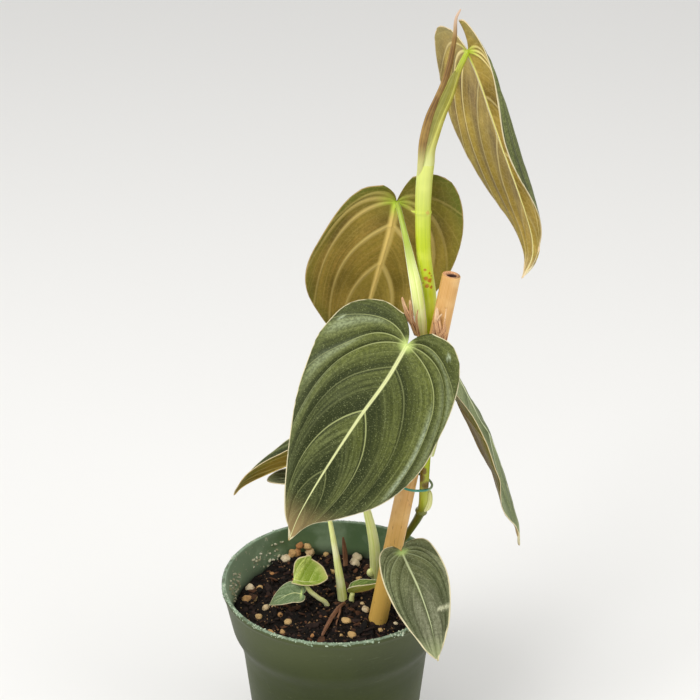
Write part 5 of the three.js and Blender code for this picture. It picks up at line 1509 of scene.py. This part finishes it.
def buildTie(material):
    points = np.array(tieForm["loop"], float)
    count = len(points)
    spots = np.linspace(0, count, tieForm["stations"], endpoint=False)
    before = spots.astype(int)
    part = (spots - before)[:, None]
    centre = curvePart(*(points[(before + k) % count] for k in (-1, 0, 1, 2)), part)
    along = unit(np.roll(centre, -1, axis=0) - np.roll(centre, 1, axis=0))
    across = unit(np.cross(along, [0, 0, 1.0]))
    up = np.cross(across, along)
    angle = np.linspace(0, 2 * np.pi, tieForm["sides"], endpoint=False)
    grid = centre[:, None] + tieForm["radius"] * (across[:, None] * np.cos(angle)[:, None]
                                                  + up[:, None] * np.sin(angle)[:, None])
    sides, stations = tieForm["sides"], tieForm["stations"]
    faces = [[row * sides + side, row * sides + (side + 1) % sides,
              ((row + 1) % stations) * sides + (side + 1) % sides, ((row + 1) % stations) * sides + side]
             for row in range(stations) for side in range(sides)]
    return meshObject("plantTie", grid.reshape(-1, 3), [face[::-1] for face in faces], [material])


tieMaterial, tieTree, tieShader = surface("coatedWire")
tieMottle = useGroup(tieTree, mottleGroup, {"Fine Scale": 600.0, "Broad Scale": 120.0})
tieColor = mixColors(tieTree, tieMottle.outputs["Broad"], rgb(30, 118, 98), rgb(66, 150, 124))
tieEnd = addNode(tieTree, "ShaderNodeSeparateXYZ", {}, {0: place(tieTree)}).outputs[0]
tieColor = mixColors(tieTree, ramp(tieTree, tieEnd, 0.0405, 0.0425, 0.0, 0.8), tieColor, rgb(166, 178, 144))
setInputs(tieTree, tieShader, {"Base Color": tieColor, "Roughness": 0.35})
finishPiece(buildTie(tieMaterial), "tie_wire", "plant_tie")
print("stake and tie made")


# Floor, light and camera

studio = {
    "camera": [7, -580, 470], "pitch": 24, "sensor": 36, "lens": 1458 / 700 * 36, "floorSize": 6000,
    "floorColor": rgb(236, 235, 232),
    "keyPower": 20, "fillPower": 5, "world": 0.76,
}


def buildStudio():
    scene = bpy.context.scene
    half = studio["floorSize"] / 2
    material, tree, shader = surface("floorPaint")
    setInputs(tree, shader, {"Base Color": studio["floorColor"], "Roughness": 0.7})
    corners = [[-half, -half, 0], [half, -half, 0], [half, half, 0], [-half, half, 0]]
    meshObject("floor", corners, [[0, 1, 2, 3]], [material])
    world = bpy.data.worlds.new("softRoom")
    world.use_nodes = True
    world.node_tree.nodes["Background"].inputs["Color"].default_value = (1, 1, 1, 1)
    world.node_tree.nodes["Background"].inputs["Strength"].default_value = studio["world"]
    scene.world = world
    for name, spot, size, power in (("keyLight", (-0.9, -0.9, 1.5), 0.9, studio["keyPower"]),
                                    ("fillLight", (1.1, -0.5, 0.9), 1.0, studio["fillPower"])):
        light = bpy.data.lights.new(name, "AREA")
        light.energy = power
        light.size = size
        lamp = bpy.data.objects.new(name, light)
        lamp.location = spot
        lamp.rotation_euler = (Vector((0, 0, 0.2)) - Vector(spot)).to_track_quat("-Z", "Y").to_euler()
        scene.collection.objects.link(lamp)
    camera = bpy.data.cameras.new("camera")
    camera.lens = studio["lens"]
    camera.sensor_width = studio["sensor"]
    camera.clip_end = 20
    eye = bpy.data.objects.new("camera", camera)
    eye.location = [v * mm for v in studio["camera"]]
    eye.rotation_euler = (math.radians(90 - studio["pitch"]), 0, 0)
    scene.collection.objects.link(eye)
    scene.camera = eye
    scene.view_settings.view_transform = "Standard"


buildStudio()
